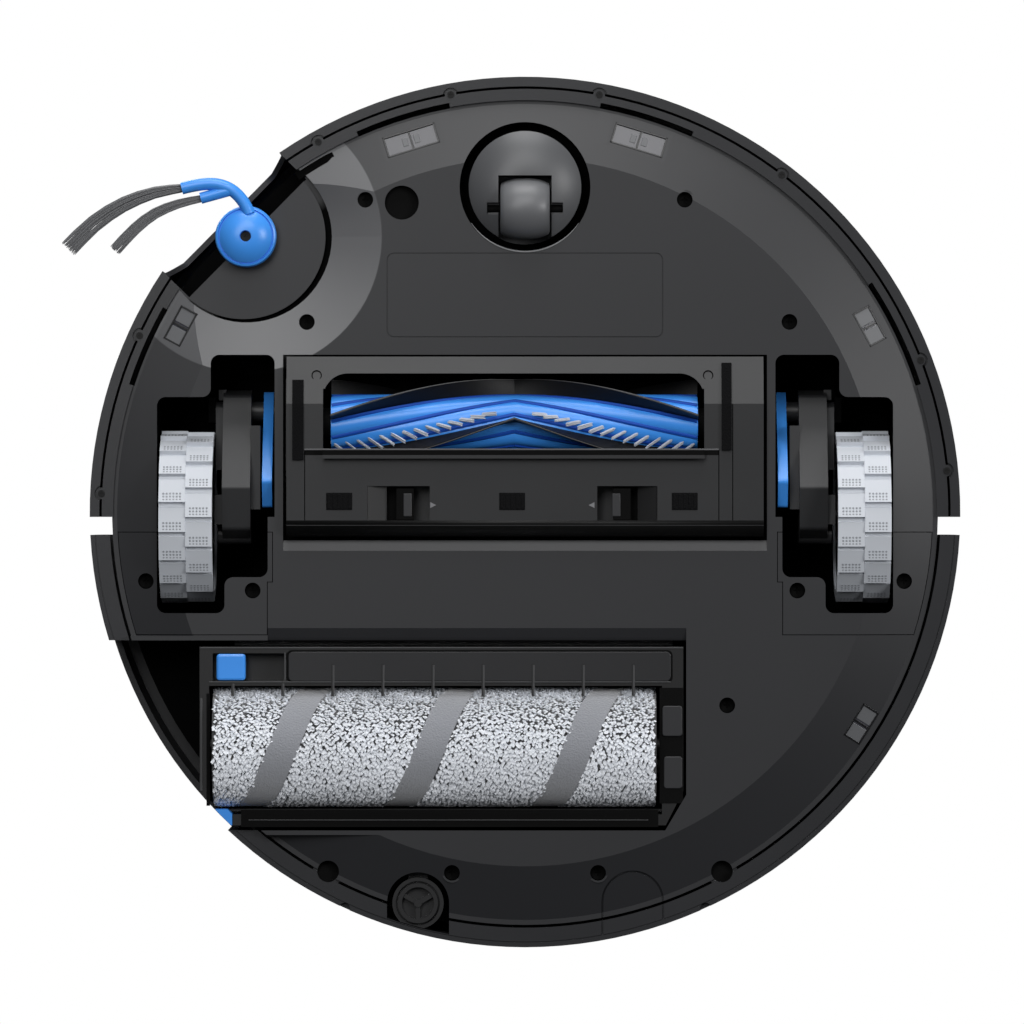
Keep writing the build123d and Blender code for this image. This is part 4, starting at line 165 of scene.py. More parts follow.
def moulded_grain_group():
    """Fine spark-eroded grain, with faint cloudy differences in tone and gloss."""
    group = bpy.data.node_groups.new("moulded_grain", "ShaderNodeTree")
    group_socket(group, "Colour", "NodeSocketColor", value=(0.02, 0.02, 0.02, 1))
    group_socket(group, "Roughness", "NodeSocketFloat", value=0.4)
    group_socket(group, "Grain per metre", "NodeSocketFloat", value=2600.0)
    group_socket(group, "Cloud", "NodeSocketFloat", value=0.12)
    group_socket(group, "Colour", "NodeSocketColor", output=True)
    group_socket(group, "Roughness", "NodeSocketFloat", output=True)
    group_socket(group, "Height", "NodeSocketFloat", output=True)
    nodes, links = group.nodes, group.links
    given = nodes.new("NodeGroupInput")
    result = nodes.new("NodeGroupOutput")
    place = nodes.new("ShaderNodeTexCoord")
    grain = nodes.new("ShaderNodeTexNoise")
    grain.inputs["Detail"].default_value = 2.0
    links.new(place.outputs["Object"], grain.inputs["Vector"])
    links.new(given.outputs["Grain per metre"], grain.inputs["Scale"])
    cloud = nodes.new("ShaderNodeTexNoise")
    cloud.inputs["Scale"].default_value = 22.0
    cloud.inputs["Detail"].default_value = 3.0
    links.new(place.outputs["Object"], cloud.inputs["Vector"])
    span = nodes.new("ShaderNodeMapRange")
    span.inputs["To Min"].default_value = -0.5
    span.inputs["To Max"].default_value = 0.5
    links.new(cloud.outputs["Fac"], span.inputs["Value"])
    amount = reckoned(group, "MULTIPLY", span.outputs["Result"], given.outputs["Cloud"])
    bright = reckoned(group, "ADD", amount, 1.0)
    links.new(reckoned(group, "SCALE", given.outputs["Colour"], bright, kind="ShaderNodeVectorMath"),
              result.inputs["Colour"])
    links.new(reckoned(group, "MULTIPLY_ADD", amount, 0.6, given.outputs["Roughness"]),
              result.inputs["Roughness"])
    links.new(grain.outputs["Fac"], result.inputs["Height"])
    return group


moulded_grain = moulded_grain_group()


def moulded_plastic(name, colour, roughness, grain=0.25, specular=0.5, grain_per_metre=2600.0,
                    cloud=0.12, grain_depth=0.00005):
    """Plain moulded plastic or rubber with its mould's grain."""
    material = bpy.data.materials.new(name)
    material.use_nodes = True
    nodes, links = material.node_tree.nodes, material.node_tree.links
    surface = nodes["Principled BSDF"]
    surface.inputs["Specular IOR Level"].default_value = specular
    effect = nodes.new("ShaderNodeGroup")
    effect.node_tree = moulded_grain
    effect.inputs["Colour"].default_value = (*colour, 1)
    effect.inputs["Roughness"].default_value = roughness
    effect.inputs["Grain per metre"].default_value = grain_per_metre
    effect.inputs["Cloud"].default_value = cloud
    bump = nodes.new("ShaderNodeBump")
    bump.inputs["Strength"].default_value = grain
    bump.inputs["Distance"].default_value = grain_depth
    links.new(effect.outputs["Colour"], surface.inputs["Base Color"])
    links.new(effect.outputs["Roughness"], surface.inputs["Roughness"])
    links.new(effect.outputs["Height"], bump.inputs["Height"])
    links.new(bump.outputs["Normal"], surface.inputs["Normal"])
    return material


def dress(material, *names):
    """Gives CAD nodes a finish."""
    for name in names:
        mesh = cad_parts[name].data
        mesh.materials.clear()
        mesh.materials.append(material)


def underside_painted_light_group():
    """Painted light on the side brush's cone and painted shade deeper in holes and wells."""
    group = bpy.data.node_groups.new("underside_painted_light_and_shade", "ShaderNodeTree")
    group_socket(group, "Painted light and shade", "NodeSocketFloat", output=True)
    nodes, links = group.nodes, group.links
    result = nodes.new("NodeGroupOutput")
    place = nodes.new("ShaderNodeTexCoord")

    def distance(centre):
        """Distance in plan from an upright axis."""
        value = place.outputs["Object"]
        for step in (("SUBTRACT", (*centre, 0)), ("MULTIPLY", (1, 1, 0)), ("LENGTH",)):
            value = reckoned(group, step[0], value, *step[1:], kind="ShaderNodeVectorMath")
        return value

    def ramp(value, start, end, low, high):
        """Value taken from one span to another, held at the ends."""
        span = nodes.new("ShaderNodeMapRange")
        for name, number in (("From Min", start), ("From Max", end), ("To Min", low), ("To Max", high)):
            span.inputs[name].default_value = number
        links.new(value, span.inputs["Value"])
        return span.outputs["Result"]

    from_middle, from_brush = distance((0, 0)), distance(side_brush_axis)
    surface = reckoned(group, "ADD", ramp(from_middle, bevel_start, bevel_end, belly_z, rim_z),
                       ramp(from_brush, cone_start, cone_end, cone_rise, 0.0))
    height = nodes.new("ShaderNodeSeparateXYZ")
    links.new(place.outputs["Object"], height.inputs["Vector"])
    depth = reckoned(group, "SUBTRACT", height.outputs["Z"], surface)
    # painted shade with depth, and painted light on the cone's ring
    dark = ramp(depth, shade_start, shade_end, 1.0, shade_tone)
    pale = reckoned(group, "MULTIPLY", ramp(from_brush, *cone_light_fade_in, 0.0, 1.0),
                    ramp(from_brush, *cone_light_fade_out, 1.0, 0.0))
    lift = reckoned(group, "MULTIPLY_ADD", pale, cone_painted_light, 1.0)
    links.new(reckoned(group, "MULTIPLY", dark, lift), result.inputs["Painted light and shade"])
    return group


def with_painted_light_and_shade(material, group):
    """Lets a group of painted light and shade scale a plastic's colour, and its gloss, which lies in a coat
    over it.
    """
    tree = material.node_tree
    surface = tree.nodes["Principled BSDF"]
    colour = surface.inputs["Base Color"].links[0].from_socket
    tone = tree.nodes.new("ShaderNodeGroup")
    tone.node_tree = group
    tree.links.new(reckoned(tree, "SCALE", colour, tone.outputs["Painted light and shade"], kind="ShaderNodeVectorMath"),
                   surface.inputs["Base Color"])
    tree.links.new(reckoned(tree, "MULTIPLY", tone.outputs["Painted light and shade"], 0.5, clamp=True),
                   surface.inputs["Coat Weight"])
    surface.inputs["Coat IOR"].default_value = 1.79
    surface.inputs["Coat Roughness"].default_value = 0.42
    surface.inputs["Specular IOR Level"].default_value = 0.0
    return material


underside_plastic = with_painted_light_and_shade(moulded_plastic("underside_plastic", (0.020, 0.0205, 0.023), 0.42),
                          underside_painted_light_group())
shell_plastic = moulded_plastic("shell_plastic", (0.022, 0.0225, 0.025), 0.33)
screw_black = moulded_plastic("screw_black", (0.002, 0.002, 0.002), 0.5, specular=0.3)
line_black = moulded_plastic("line_black", (0.003, 0.003, 0.003), 0.8, specular=0.1)
dress(underside_plastic, "lower_chassis", "wheel_housing_left", "wheel_housing_right")
dress(shell_plastic, "rear_shell", "bumper_shell", "bumper_retainer", "top_cover", "start_button")
dress(line_black, "chassis_screws")
dress(screw_black, "bumper_screws")

# ------------------------------------------------------------------- inner works and turret

# What stands on and inside the upper deck: dust bin with its fleece filter, suction fan, water
# tanks and pump, battery in its blue wrap, green main board, and the turning head of the turret.
black_plastic = moulded_plastic("black_plastic", (0.010, 0.010, 0.011), 0.4)
dress(black_plastic, "upper_deck", "dust_bin", "fan_housing", "fan_impeller", "clean_water_tank",
      "dirty_water_tank", "lidar_head")
dress(shell_plastic, "lidar_turret")
dress(screw_black, "water_pump")
dress(moulded_plastic("filter_fleece", (0.72, 0.76, 0.84), 0.6), "dust_filter")
dress(moulded_plastic("battery_wrap", (0.04, 0.07, 0.16), 0.4), "battery_pack")
dress(moulded_plastic("board_green", (0.02, 0.14, 0.06), 0.4), "main_board")

# --------------------------------------------------------------- sensor windows on the bevel

# Cliff sensors: smoked windows on the bevel, each with a black frame and two pale lenses behind
# the glass. The two in front of the caster have small lenses close together, the others large
# ones. The front window is of the same smoked plastic, and the carpet sensor is a black disc.
body_radius = 0.1765
bevel_slope = atan2(rim_z - belly_z, bevel_end - bevel_start)
lens_face, lens_back = -0.0003, -0.0006
frame_face, frame_width = 0.0001, 0.0007
bar_face, bar_half = -0.0002, 0.0004
# bearing from the front, inset from the rim, window along and across, lens along and across
cliff_rows = [
    (-17.03, 0.01878, 0.0219, 0.0089, 0.0023, 0.0036),
    (17.03, 0.01878, 0.0219, 0.0089, 0.0023, 0.0036),
    (-61.64, 0.01775, 0.0152, 0.0079, 0.0060, 0.0076),
    (61.64, 0.01775, 0.0152, 0.0079, 0.0060, 0.0076),
    (122.23, 0.01525, 0.0152, 0.0079, 0.0060, 0.0076),
]


def add_block(mesh, low, high, place=Matrix.Identity(4)):
    """Adds a box between two corners to a bmesh."""
    centre = [(a + b) / 2 for a, b in zip(low, high)]
    size = [abs(b - a) for a, b in zip(low, high)]
    bmesh.ops.create_cube(mesh, size=1.0,
                          matrix=place @ Matrix.Translation(centre) @ Matrix.Diagonal((*size, 1)))


def make_piece(mesh, name, material, body, bevel=0.0, smooth=False):
    """Turns a bmesh into an object that rides on a CAD body."""
    bmesh.ops.recalc_face_normals(mesh, faces=mesh.faces)
    data = bpy.data.meshes.new(name)
    mesh.to_mesh(data)
    mesh.free()
    data.materials.append(material)
    piece = bpy.data.objects.new(name, data)
    bpy.context.scene.collection.objects.link(piece)
    if bevel > 0:
        edge = piece.modifiers.new("edge", "BEVEL")
        edge.width = bevel
        edge.segments = 2
        edge.limit_method = "ANGLE"
    if smooth:
        for face in data.polygons:
            face.use_smooth = True
    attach(piece, body)
    return piece


def on_bevel(bearing, inset):
    """Frame on the bevel: X along the rim, Y outwards, Z out of the underside."""
    reach = body_radius - inset
    turn = radians(bearing)
    height = belly_z + (reach - bevel_start) * (rim_z - belly_z) / (bevel_end - bevel_start)
    out = Vector((sin(turn), -cos(turn), 0))
    normal = Vector((out.x * sin(bevel_slope), out.y * sin(bevel_slope), -cos(bevel_slope)))
    along = Vector((cos(turn), sin(turn), 0))
    across = normal.cross(along)
    place = Matrix((along, across, normal)).transposed().to_4x4()
    place.translation = Vector((out.x * reach, out.y * reach, height))
    return place


lenses, frames = bmesh.new(), bmesh.new()
for bearing, inset, along, across, lens_along, lens_across in cliff_rows:
    place = on_bevel(bearing, inset)
    gap = lens_along * (0.35 if lens_along > 0.004 else 1.1)
    for side in (-1, 1):
        middle = side * (lens_along / 2 + gap / 2)
        add_block(lenses, (middle - lens_along / 2, -lens_across / 2, lens_back),
                  (middle + lens_along / 2, lens_across / 2, lens_face), place)
    half_along, half_across = along / 2, across / 2
    for low, high in (((-half_along, -half_across), (half_along, -half_across + frame_width)),
                      ((-half_along, half_across - frame_width), (half_along, half_across)),
                      ((-half_along, -half_across), (-half_along + frame_width, half_across)),
                      ((half_along - frame_width, -half_across), (half_along, half_across))):
        add_block(frames, (*low, lens_back), (*high, frame_face), place)
    add_block(frames, (-bar_half, -half_across, lens_back), (bar_half, half_across, bar_face), place)
make_piece(lenses, "cliff_lenses", moulded_plastic("lens_grey", (0.12, 0.123, 0.13), 0.4), "chassis",
           bevel=0.0003)
make_piece(frames, "cliff_frames", moulded_plastic("sensor_frame_black", (0.006, 0.006, 0.007), 0.3),
           "chassis", bevel=0.0001)
dress(moulded_plastic("smoked_window", (0.05, 0.05, 0.06), 0.1), "cliff_sensor_windows", "sensor_window")
dress(line_black, "carpet_sensor")

# --------------------------------------------------------------------------------- arch slot

# Painted shade of the open slot between the bevel and the bumper where the arch of the side brush
# begins: a bent black strip laid into the bevel, narrower at its front end.
slot_inner, slot_outer, slot_taper = 0.1629, 0.1665, 0.0008
slot_face, slot_back = 0.0001, -0.0006


def join_rings(mesh, rings, ends=True):
    """Joins rings of points with bands of faces, and closes the first and the last ring."""
    for near, far in zip(rings, rings[1:]):
        for j in range(len(near)):
            follow = (j + 1) % len(near)
            mesh.faces.new((near[j], near[follow], far[follow], far[j]))
    if ends:
        mesh.faces.new(rings[0][::-1])
        mesh.faces.new(rings[-1])


slot = bmesh.new()
slot_rows = []
for bearing in (-28.2, -28.6, -29.4, -30.6, -31.8, -33.0, -34.2):
    low_inset, high_inset = body_radius - slot_inner, body_radius - slot_outer
    if bearing > -29:
        low_inset, high_inset = low_inset - slot_taper, high_inset + slot_taper
    corners = ((low_inset, slot_face), (high_inset, slot_face),
               (high_inset, slot_back), (low_inset, slot_back))
    slot_rows.append([slot.verts.new(on_bevel(bearing, inset) @ Vector((0, 0, lift)))
                      for inset, lift in corners])
join_rings(slot, slot_rows, ends=False)
slot.faces.new(slot_rows[0])
slot.faces.new(slot_rows[-1][::-1])
make_piece(slot, "arch_slot", moulded_plastic("slot_painted_shade", (0.002, 0.002, 0.002), 0.9, specular=0.05),
           "chassis")

# ------------------------------------------------------------------------------ side brush

# Blue hub and stem on a black deck. Two curved tufts of stiff grey bristles take the place of the
# solid tufts: each strand starts in the stem's end, fans out a little and sinks to the floor, and
# the strands differ in length and bend.
shaft = Vector((*side_brush_axis, 0.0))
tuft_root_z, tuft_tip_z = 0.0074, 0.0007
strand_steps = 8
strand_radius, strand_tip_radius = 0.00021, 0.0001
strand_wander, strand_lift = 0.0006, 0.0008
# points of the course from the shaft, half width at the root and at the tip, number of strands
tufts = [
    [(-0.0250, -0.0196), (-0.0370, -0.0176), (-0.0499, -0.0125), (-0.0617, -0.0045), (-0.0716, 0.0055),
     0.0015, 0.0036, 90],
    [(-0.0178, -0.0153), (-0.0275, -0.0128), (-0.0368, -0.0087), (-0.0450, -0.0022), (-0.0528, 0.0061),
     0.0013, 0.0024, 70],
]


def add_tube(mesh, course, radii, sides=6):
    """Adds a round bar with closed ends along a list of points; radii holds one radius for each."""
    rings = []
    for k, point in enumerate(course):
        ahead = Vector(course[min(k + 1, len(course) - 1)])
        behind = Vector(course[max(k - 1, 0)])
        along = (ahead - behind).normalized()
        across = along.cross(Vector((0, 0, 1)) if abs(along.z) < 0.9 else Vector((1, 0, 0))).normalized()
        upward = across.cross(along)
        rings.append([mesh.verts.new(Vector(point) + radii[k] * (cos(2 * pi * j / sides) * across
                                                                 + sin(2 * pi * j / sides) * upward))
                      for j in range(sides)])
    join_rings(mesh, rings)


def side_brush_strands():
    """Both tufts as separate strands in one mesh."""
    chance = random.Random(11)
    mesh = bmesh.new()
    for *course, root_half, tip_half, count in tufts:
        for strand in range(count):
            offset = chance.uniform(-1, 1)
            lift = chance.uniform(-1, 1)
            reach = chance.uniform(0.95, 1.0)
            wander = chance.uniform(-1, 1) * strand_wander
            points = []
            for k in range(strand_steps + 1):
                share = k / strand_steps * reach
                span = share * (len(course) - 1)
                index = min(int(span), len(course) - 2)
                part = span - index
                near, far = Vector((*course[index], 0)), Vector((*course[index + 1], 0))
                before = Vector((*course[max(index - 1, 0)], 0))
                after = Vector((*course[min(index + 2, len(course) - 1)], 0))
                slope_near, slope_far = (far - before) / 2, (after - near) / 2
                point = ((2 * part**3 - 3 * part**2 + 1) * near + (part**3 - 2 * part**2 + part) * slope_near
                         + (3 * part**2 - 2 * part**3) * far + (part**3 - part**2) * slope_far)
                along = (far - near).normalized()
                side = Vector((-along.y, along.x, 0))
                half = root_half + (tip_half - root_half) * share
                place = shaft + point + side * (offset * half + wander * sin(pi * share))
                sink = (tuft_tip_z - tuft_root_z) * share
                place.z = tuft_root_z + sink + lift * strand_lift * (1 - 0.8 * share)
                points.append(place)
            add_tube(mesh, points, [strand_radius] * strand_steps + [strand_tip_radius], sides=4)
    return mesh


blue_plastic = moulded_plastic("blue_plastic", (0.055, 0.31, 0.90), 0.3, grain=0.1)
chassis_plastic = moulded_plastic("chassis_plastic", (0.020, 0.0205, 0.023), 0.42)
grey_bristle = moulded_plastic("grey_bristle", (0.15, 0.152, 0.158), 0.5, grain=0.1)
dress(blue_plastic, "side_brush_hub")
dress(chassis_plastic, "side_brush_deck")
dress(screw_black, "side_brush_screw", "side_brush_motor")
dress(grey_bristle, "side_brush_bristles")
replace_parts(make_piece(side_brush_strands(), "side_brush_strands", grey_bristle, "side_brush"),
            "side_brush_bristles")

# ------------------------------------------------------------------------------ brush cover

# Lift-off plate of moulded plastic that holds the main brush in, with a ramp before the brush, a
# lip behind it and felt seals at its sides; two latches in pockets hold it. Its pads, arrows,
# seams, pips and lip lines are thin pieces set a little way into its face.
cover_z = 0.006
set_in = 0.0002
pad_proud, pad_front_y, pad_rear_y = 0.0004, -0.0078, -0.0008
pad_ribs, rib_half, rib_proud, rib_front_y, rib_rear_y = 5, 0.0006, 0.0006, -0.0073, -0.0013
arrow_y, arrow_reach, arrow_half, arrow_proud = -0.0028, 0.0012, 0.0012, 0.00015
seam_half, seam_proud, seam_rear_y = 0.0002, 0.00006, 0.0043
cover_plastic = moulded_plastic("cover_plastic", (0.014, 0.0145, 0.016), 0.4)
pad_dark = moulded_plastic("cover_pad", (0.005, 0.005, 0.0055), 0.8, grain=1.0, specular=0.1,
                           grain_per_metre=1500.0, grain_depth=0.0003)
felt_black = moulded_plastic("felt_black", (0.007, 0.007, 0.0075), 0.9, grain=1.0, specular=0.05,
                             grain_per_metre=1500.0, grain_depth=0.0003)
mark_grey = moulded_plastic("cover_mark", (0.19, 0.19, 0.2), 0.5)
dress(cover_plastic, "brush_cover")
dress(felt_black, "brush_edge_seals")


def add_prism(mesh, outline, low_z, high_z):
    """Adds an upright prism over an outline in plan."""
    join_rings(mesh, [[mesh.verts.new((x, y, z)) for x, y in outline] for z in (low_z, high_z)])


pads = bmesh.new()
for low_x, high_x in ((-0.0804, -0.0699), (-0.0104, 0.0), (0.0594, 0.0698)):
    add_block(pads, (low_x, pad_front_y, cover_z - pad_proud), (high_x, pad_rear_y, cover_z + set_in))
    for k in range(pad_ribs):
        rib_x = low_x + (k + 0.5) * (high_x - low_x) / pad_ribs
        add_block(pads, (rib_x - rib_half, rib_front_y, cover_z - rib_proud),
                  (rib_x + rib_half, rib_rear_y, cover_z))
make_piece(pads, "cover_pads", pad_dark, "cover", bevel=0.0002)
arrows = bmesh.new()
for middle_x, point in ((-0.0371, 1), (0.0269, -1)):
    back_x = middle_x - point * arrow_reach
    add_prism(arrows, [(middle_x + point * arrow_reach, arrow_y), (back_x, arrow_y + arrow_half),
                       (back_x, arrow_y - arrow_half)], cover_z - arrow_proud, cover_z + set_in)
make_piece(arrows, "cover_arrows", mark_grey, "cover")

# The lip behind the brush lies lower than the cover's shoulders on both sides of it: a pale edge of
# painted highlight, a black line of painted shade behind the edge and the lip's foot, with the seams
# that run back from them
lip_left_x, lip_right_x, left_shoulder_x, right_shoulder_x = -0.0818, 0.0726, -0.0893, 0.0784
edge_front_y, edge_rear_y, line_rear_y, foot_rear_y = -0.0256, -0.0250, -0.0230, -0.0216
edge_face_z, foot_face_z, lip_back_z, edge_proud = 0.0023, 0.0024, 0.0030, 0.0003
seams = bmesh.new()
for seam_x, front_y in ((-0.0891, -0.025), (0.0784, -0.025), (0.084, -0.0437)):
    add_block(seams, (seam_x - seam_half, front_y, cover_z - seam_proud),
              (seam_x + seam_half, seam_rear_y, cover_z + set_in))
lip_highlights = bmesh.new()
for low_x, high_x in ((left_shoulder_x, lip_left_x), (lip_right_x, right_shoulder_x)):
    add_block(seams, (low_x, -0.0251, cover_z - seam_proud), (high_x, line_rear_y, cover_z + set_in))
    add_block(lip_highlights, (low_x, edge_front_y, cover_z - edge_proud), (high_x, edge_rear_y, cover_z + set_in))
make_piece(seams, "cover_lines", line_black, "cover")
add_block(lip_highlights, (lip_left_x, edge_front_y, edge_face_z), (lip_right_x, edge_rear_y, lip_back_z))
make_piece(lip_highlights, "cover_lip_highlights", moulded_plastic("lip_highlight_grey", (0.10, 0.10, 0.105), 0.4), "cover",
           bevel=0.0001)
lip_shade_line = bmesh.new()
add_block(lip_shade_line, (lip_left_x, edge_rear_y, foot_face_z), (lip_right_x, line_rear_y, lip_back_z))
make_piece(lip_shade_line, "cover_lip_shade", line_black, "cover")
foot = bmesh.new()
add_block(foot, (lip_left_x, line_rear_y, foot_face_z), (lip_right_x, foot_rear_y, lip_back_z))
make_piece(foot, "cover_lip_foot", cover_plastic, "cover")

# Round pips sunk in the ramp, whose foot and front end set their height
ramp_front_y, ramp_front_z, ramp_foot_y = -0.0629, 0.0098, -0.0438
pip_y, pip_radius, pip_steps, pip_line, pip_proud = -0.0553, 0.0019, 32, 0.00022, 0.0001
pip_z = cover_z + (ramp_front_z - cover_z) * (ramp_foot_y - pip_y) / (ramp_foot_y - ramp_front_y)
pips = bmesh.new()
for pip_x in (-0.0843, 0.0741):
    circle = [(pip_x + pip_radius * cos(2 * pi * k / pip_steps),
               pip_y + pip_radius * sin(2 * pi * k / pip_steps), pip_z - pip_proud)
              for k in range(pip_steps + 1)]
    add_tube(pips, circle, [pip_line] * len(circle))
make_piece(pips, "cover_pip_rings", line_black, "cover")

# Painted shade along the rear of the cover: a black rounded strip that turns up into the gap behind it
round_half_x, round_front_y, round_radius, round_face_z, round_steps = 0.0966, 0.0034, 0.0066, 0.0057, 8
arc = []
for k in range(round_steps + 1):
    turn = pi * k / 2 / round_steps
    arc.append((round_front_y + round_radius * sin(turn), round_face_z + round_radius * (1 - cos(turn))))
arc.append((round_front_y, arc[-1][1]))
strip = bmesh.new()
join_rings(strip, [[strip.verts.new((x, y, z)) for y, z in arc] for x in (-round_half_x, round_half_x)])
rear_painted_shade = moulded_plastic("rear_round_painted_shade", (0.003, 0.003, 0.003), 0.5, specular=0.25)
make_piece(strip, "cover_rear_painted_shade", rear_painted_shade, "cover", smooth=True)

# Pieces in each latch pocket, which ride on the cover: a finger ramp over the outer third of the pocket, a
# grip bar and a pale sill
pocket_front_y, pocket_rear_y, sill_rear_y = -0.0104, 0.0040, 0.0043
ramp_length, ramp_depth, ramp_gap = 0.0078, 0.0042, 0.0001
grip_half, grip_front_y, grip_rear_y, grip_face, grip_back = 0.0017, -0.0075, 0.0018, 0.0001, 0.0006
grips, ramps, sills = bmesh.new(), bmesh.new(), bmesh.new()
for outer_x, inner_x, grip_x in ((-0.0637, -0.0398, -0.0475), (0.0534, 0.0296, 0.0369)):
    side = 1 if outer_x < 0 else -1
    add_block(grips, (grip_x - grip_half, grip_front_y, cover_z + grip_face),
              (grip_x + grip_half, grip_rear_y, cover_z + grip_back))
    add_block(sills, (min(outer_x, inner_x), pocket_rear_y, cover_z - set_in),
              (max(outer_x, inner_x), sill_rear_y, cover_z + set_in))
    corners = [(outer_x + side * ramp_gap, cover_z + set_in),
               (outer_x + side * ramp_length, cover_z + ramp_depth),
               (outer_x + side * ramp_gap, cover_z + ramp_depth)]
    join_rings(ramps, [[ramps.verts.new((x, y, z)) for x, z in corners]
                       for y in (pocket_front_y, pocket_rear_y)])
make_piece(ramps, "cover_latch_ramps", moulded_plastic("ramp_black", (0.006, 0.006, 0.0066), 0.5), "cover")
make_piece(grips, "cover_latch_grips", chassis_plastic, "cover", bevel=0.0004)
make_piece(sills, "cover_latch_sills", mark_grey, "cover")
dress(line_black, "brush_latch_left", "brush_latch_right")

# ------------------------------------------------------------------------------- main brush

# Blue core with helical flutes, and rows of white tufts between the black rubber flaps, driven by
# the gearbox at its end. Flutes, flaps and tufts all turn the same way from the middle to the
# ends. Skin, tufts and flaps are made of sections, one after another along the axis.
brush_axle = brush_axle_y, brush_axle_z = -0.036, 0.019
brush_middle_x, brush_half = -0.0043, 0.0743
brush_twist = radians(86)
core_radius, core_skin, core_end_gap = 0.0106, 0.0001, 0.0002
flute_count, flute_height, flute_fullness = 10, 0.0011, 0.6


def round_axle(axle, x, radius, turn):
    """Point at a radius and an angle round an axle that runs along X."""
    return x, axle[0] + radius * cos(turn), axle[1] + radius * sin(turn)


def fluted_core():
    """Thin fluted skin over the core, from one end ring to the other."""
    mesh = bmesh.new()
    around, along = 192, 48
    rings = []
    for i in range(along + 1):
        offset = -1 + 2 * i / along
        x = brush_middle_x + offset * (brush_half - core_end_gap)
        turn = brush_twist * abs(offset)
        ring = []
        for j in range(around):
            angle = 2 * pi * j / around
            phase = (angle * flute_count / (2 * pi)) % 1
            height = core_radius + core_skin + (flute_height * sin(pi * phase) ** flute_fullness)
            ring.append(mesh.verts.new(round_axle(brush_axle, x, height, angle + turn)))
        rings.append(ring)
    join_rings(mesh, rings, ends=False)
    for ring in (rings[0], rings[-1]):
        inner = [mesh.verts.new((v.co.x, brush_axle_y + (v.co.y - brush_axle_y) * 0.9,
                                 brush_axle_z + (v.co.z - brush_axle_z) * 0.9)) for v in ring]
        join_rings(mesh, [ring, inner], ends=False)
    return mesh


dress(black_plastic, "brush_gearbox")
dress(blue_plastic, "brush_core")
make_piece(fluted_core(), "brush_core_flutes",
           moulded_plastic("brush_blue", (0.05, 0.30, 0.90), 0.3, grain=0.1), "main_brush")
# Dark blue bars laid in the valleys between the flutes are painted shade in the core's grooves.
groove_steps, groove_radius, groove_level, groove_end_gap = 24, 0.0010, 0.0002, 0.0004
groove_shades = bmesh.new()
for flute in range(flute_count):
    for side in (-1, 1):
        course = []
        for k in range(groove_steps + 1):
            turn = 2 * pi * flute / flute_count + brush_twist * k / groove_steps
            x = brush_middle_x + side * k / groove_steps * (brush_half - groove_end_gap)
            course.append(round_axle(brush_axle, x, core_radius + groove_level, turn))
        add_tube(groove_shades, course, [groove_radius] * len(course), sides=8)
make_piece(groove_shades, "brush_core_groove_shade",
           moulded_plastic("groove_shade_blue", (0.008, 0.07, 0.42), 0.5, specular=0.2), "main_brush")

tuft_bearing, tuft_lean, tufts_in_row, strands_in_tuft = 241, radians(19), 14, 16
first_tuft, tuft_pitch = 0.0108, 0.0046
tuft_root, tuft_reach, tuft_slant = 0.0110, 0.0144, 0.0034
tuft_radii = [0.00020, 0.00020, 0.00019, 0.00012]


def white_tufts():
    """Two rows of tufts in place of the solid bristle rows, each tuft a bundle of strands."""
    chance = random.Random(5)
    mesh = bmesh.new()
    for row in range(2):
        for side in (-1, 1):
            for k in range(tufts_in_row):
                share = (first_tuft + tuft_pitch * k) / brush_half
                lean = tuft_lean * share
                turn = radians(tuft_bearing + 180 * row) + brush_twist * share - lean / 2
                for strand in range(strands_in_tuft):
                    angle = turn + chance.uniform(-1, 1) * 0.05
                    middle = brush_middle_x + side * share * brush_half + chance.uniform(-1, 1) * 0.0004
                    reach = tuft_reach + chance.uniform(-1, 1) * 0.0002
                    points = []
                    for step in range(len(tuft_radii)):
                        part = step / (len(tuft_radii) - 1)
                        radius = tuft_root + (reach - tuft_root) * part
                        points.append(round_axle(brush_axle, middle + side * tuft_slant * (1 - 2 * part),
                                                 radius, angle + lean * part))
                    add_tube(mesh, points, tuft_radii, sides=4)
    return mesh


white_bristle = moulded_plastic("white_bristle", (0.55, 0.58, 0.64), 0.5, grain=0.1)
dress(white_bristle, "brush_bristles")
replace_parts(make_piece(white_tufts(), "brush_white_tufts", white_bristle, "main_brush"), "brush_bristles")

flap_rows, flap_bearing, flap_steps = 4, 174, 120
flap_section = ((0.0106, -0.0008), (0.0178, -0.00045), (0.0178, 0.00045), (0.0106, 0.0008))
flap_edge_reach, flap_edge_radius, flap_edge_stride = 0.01782, 0.0002, 5
flap_rubber = moulded_plastic("flap_rubber", (0.004, 0.004, 0.0045), 0.45, specular=0.3)
flaps, flap_edges = bmesh.new(), bmesh.new()
for row in range(flap_rows):
    for side in (-1, 1):
        sections, course = [], []
        for k in range(flap_steps + 1):
            share = k / flap_steps
            turn = radians(flap_bearing + 90 * row) + brush_twist * share
            out, across = Vector((0, cos(turn), sin(turn))), Vector((0, -sin(turn), cos(turn)))
            x = brush_middle_x + side * share * brush_half
            sections.append([flaps.verts.new(Vector((x, *brush_axle)) + out * reach + across * thick)
                             for reach, thick in flap_section])
            if k % flap_edge_stride == 0:
                course.append(round_axle(brush_axle, x, flap_edge_reach, turn))
        join_rings(flaps, sections, ends=False)
        flaps.faces.new(sections[0])
        flaps.faces.new(sections[-1][::-1])
        add_tube(flap_edges, course, [flap_edge_radius] * len(course))
dress(flap_rubber, "brush_flaps")
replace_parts(make_piece(flaps, "brush_rubber_flaps", flap_rubber, "main_brush"), "brush_flaps")
make_piece(flap_edges, "brush_flap_edges", moulded_plastic("flap_edge_grey", (0.09, 0.09, 0.095), 0.4),
           "main_brush")
collar_radius = 0.0062
collars = bmesh.new()
for near_x, far_x in ((-0.0890, -0.0788), (0.0702, 0.0790)):
    add_tube(collars, [(near_x, *brush_axle), (far_x, *brush_axle)], [collar_radius] * 2, sides=40)
make_piece(collars, "brush_collars", line_black, "main_brush")

# ---------------------------------------------------------------------------- drive wheels

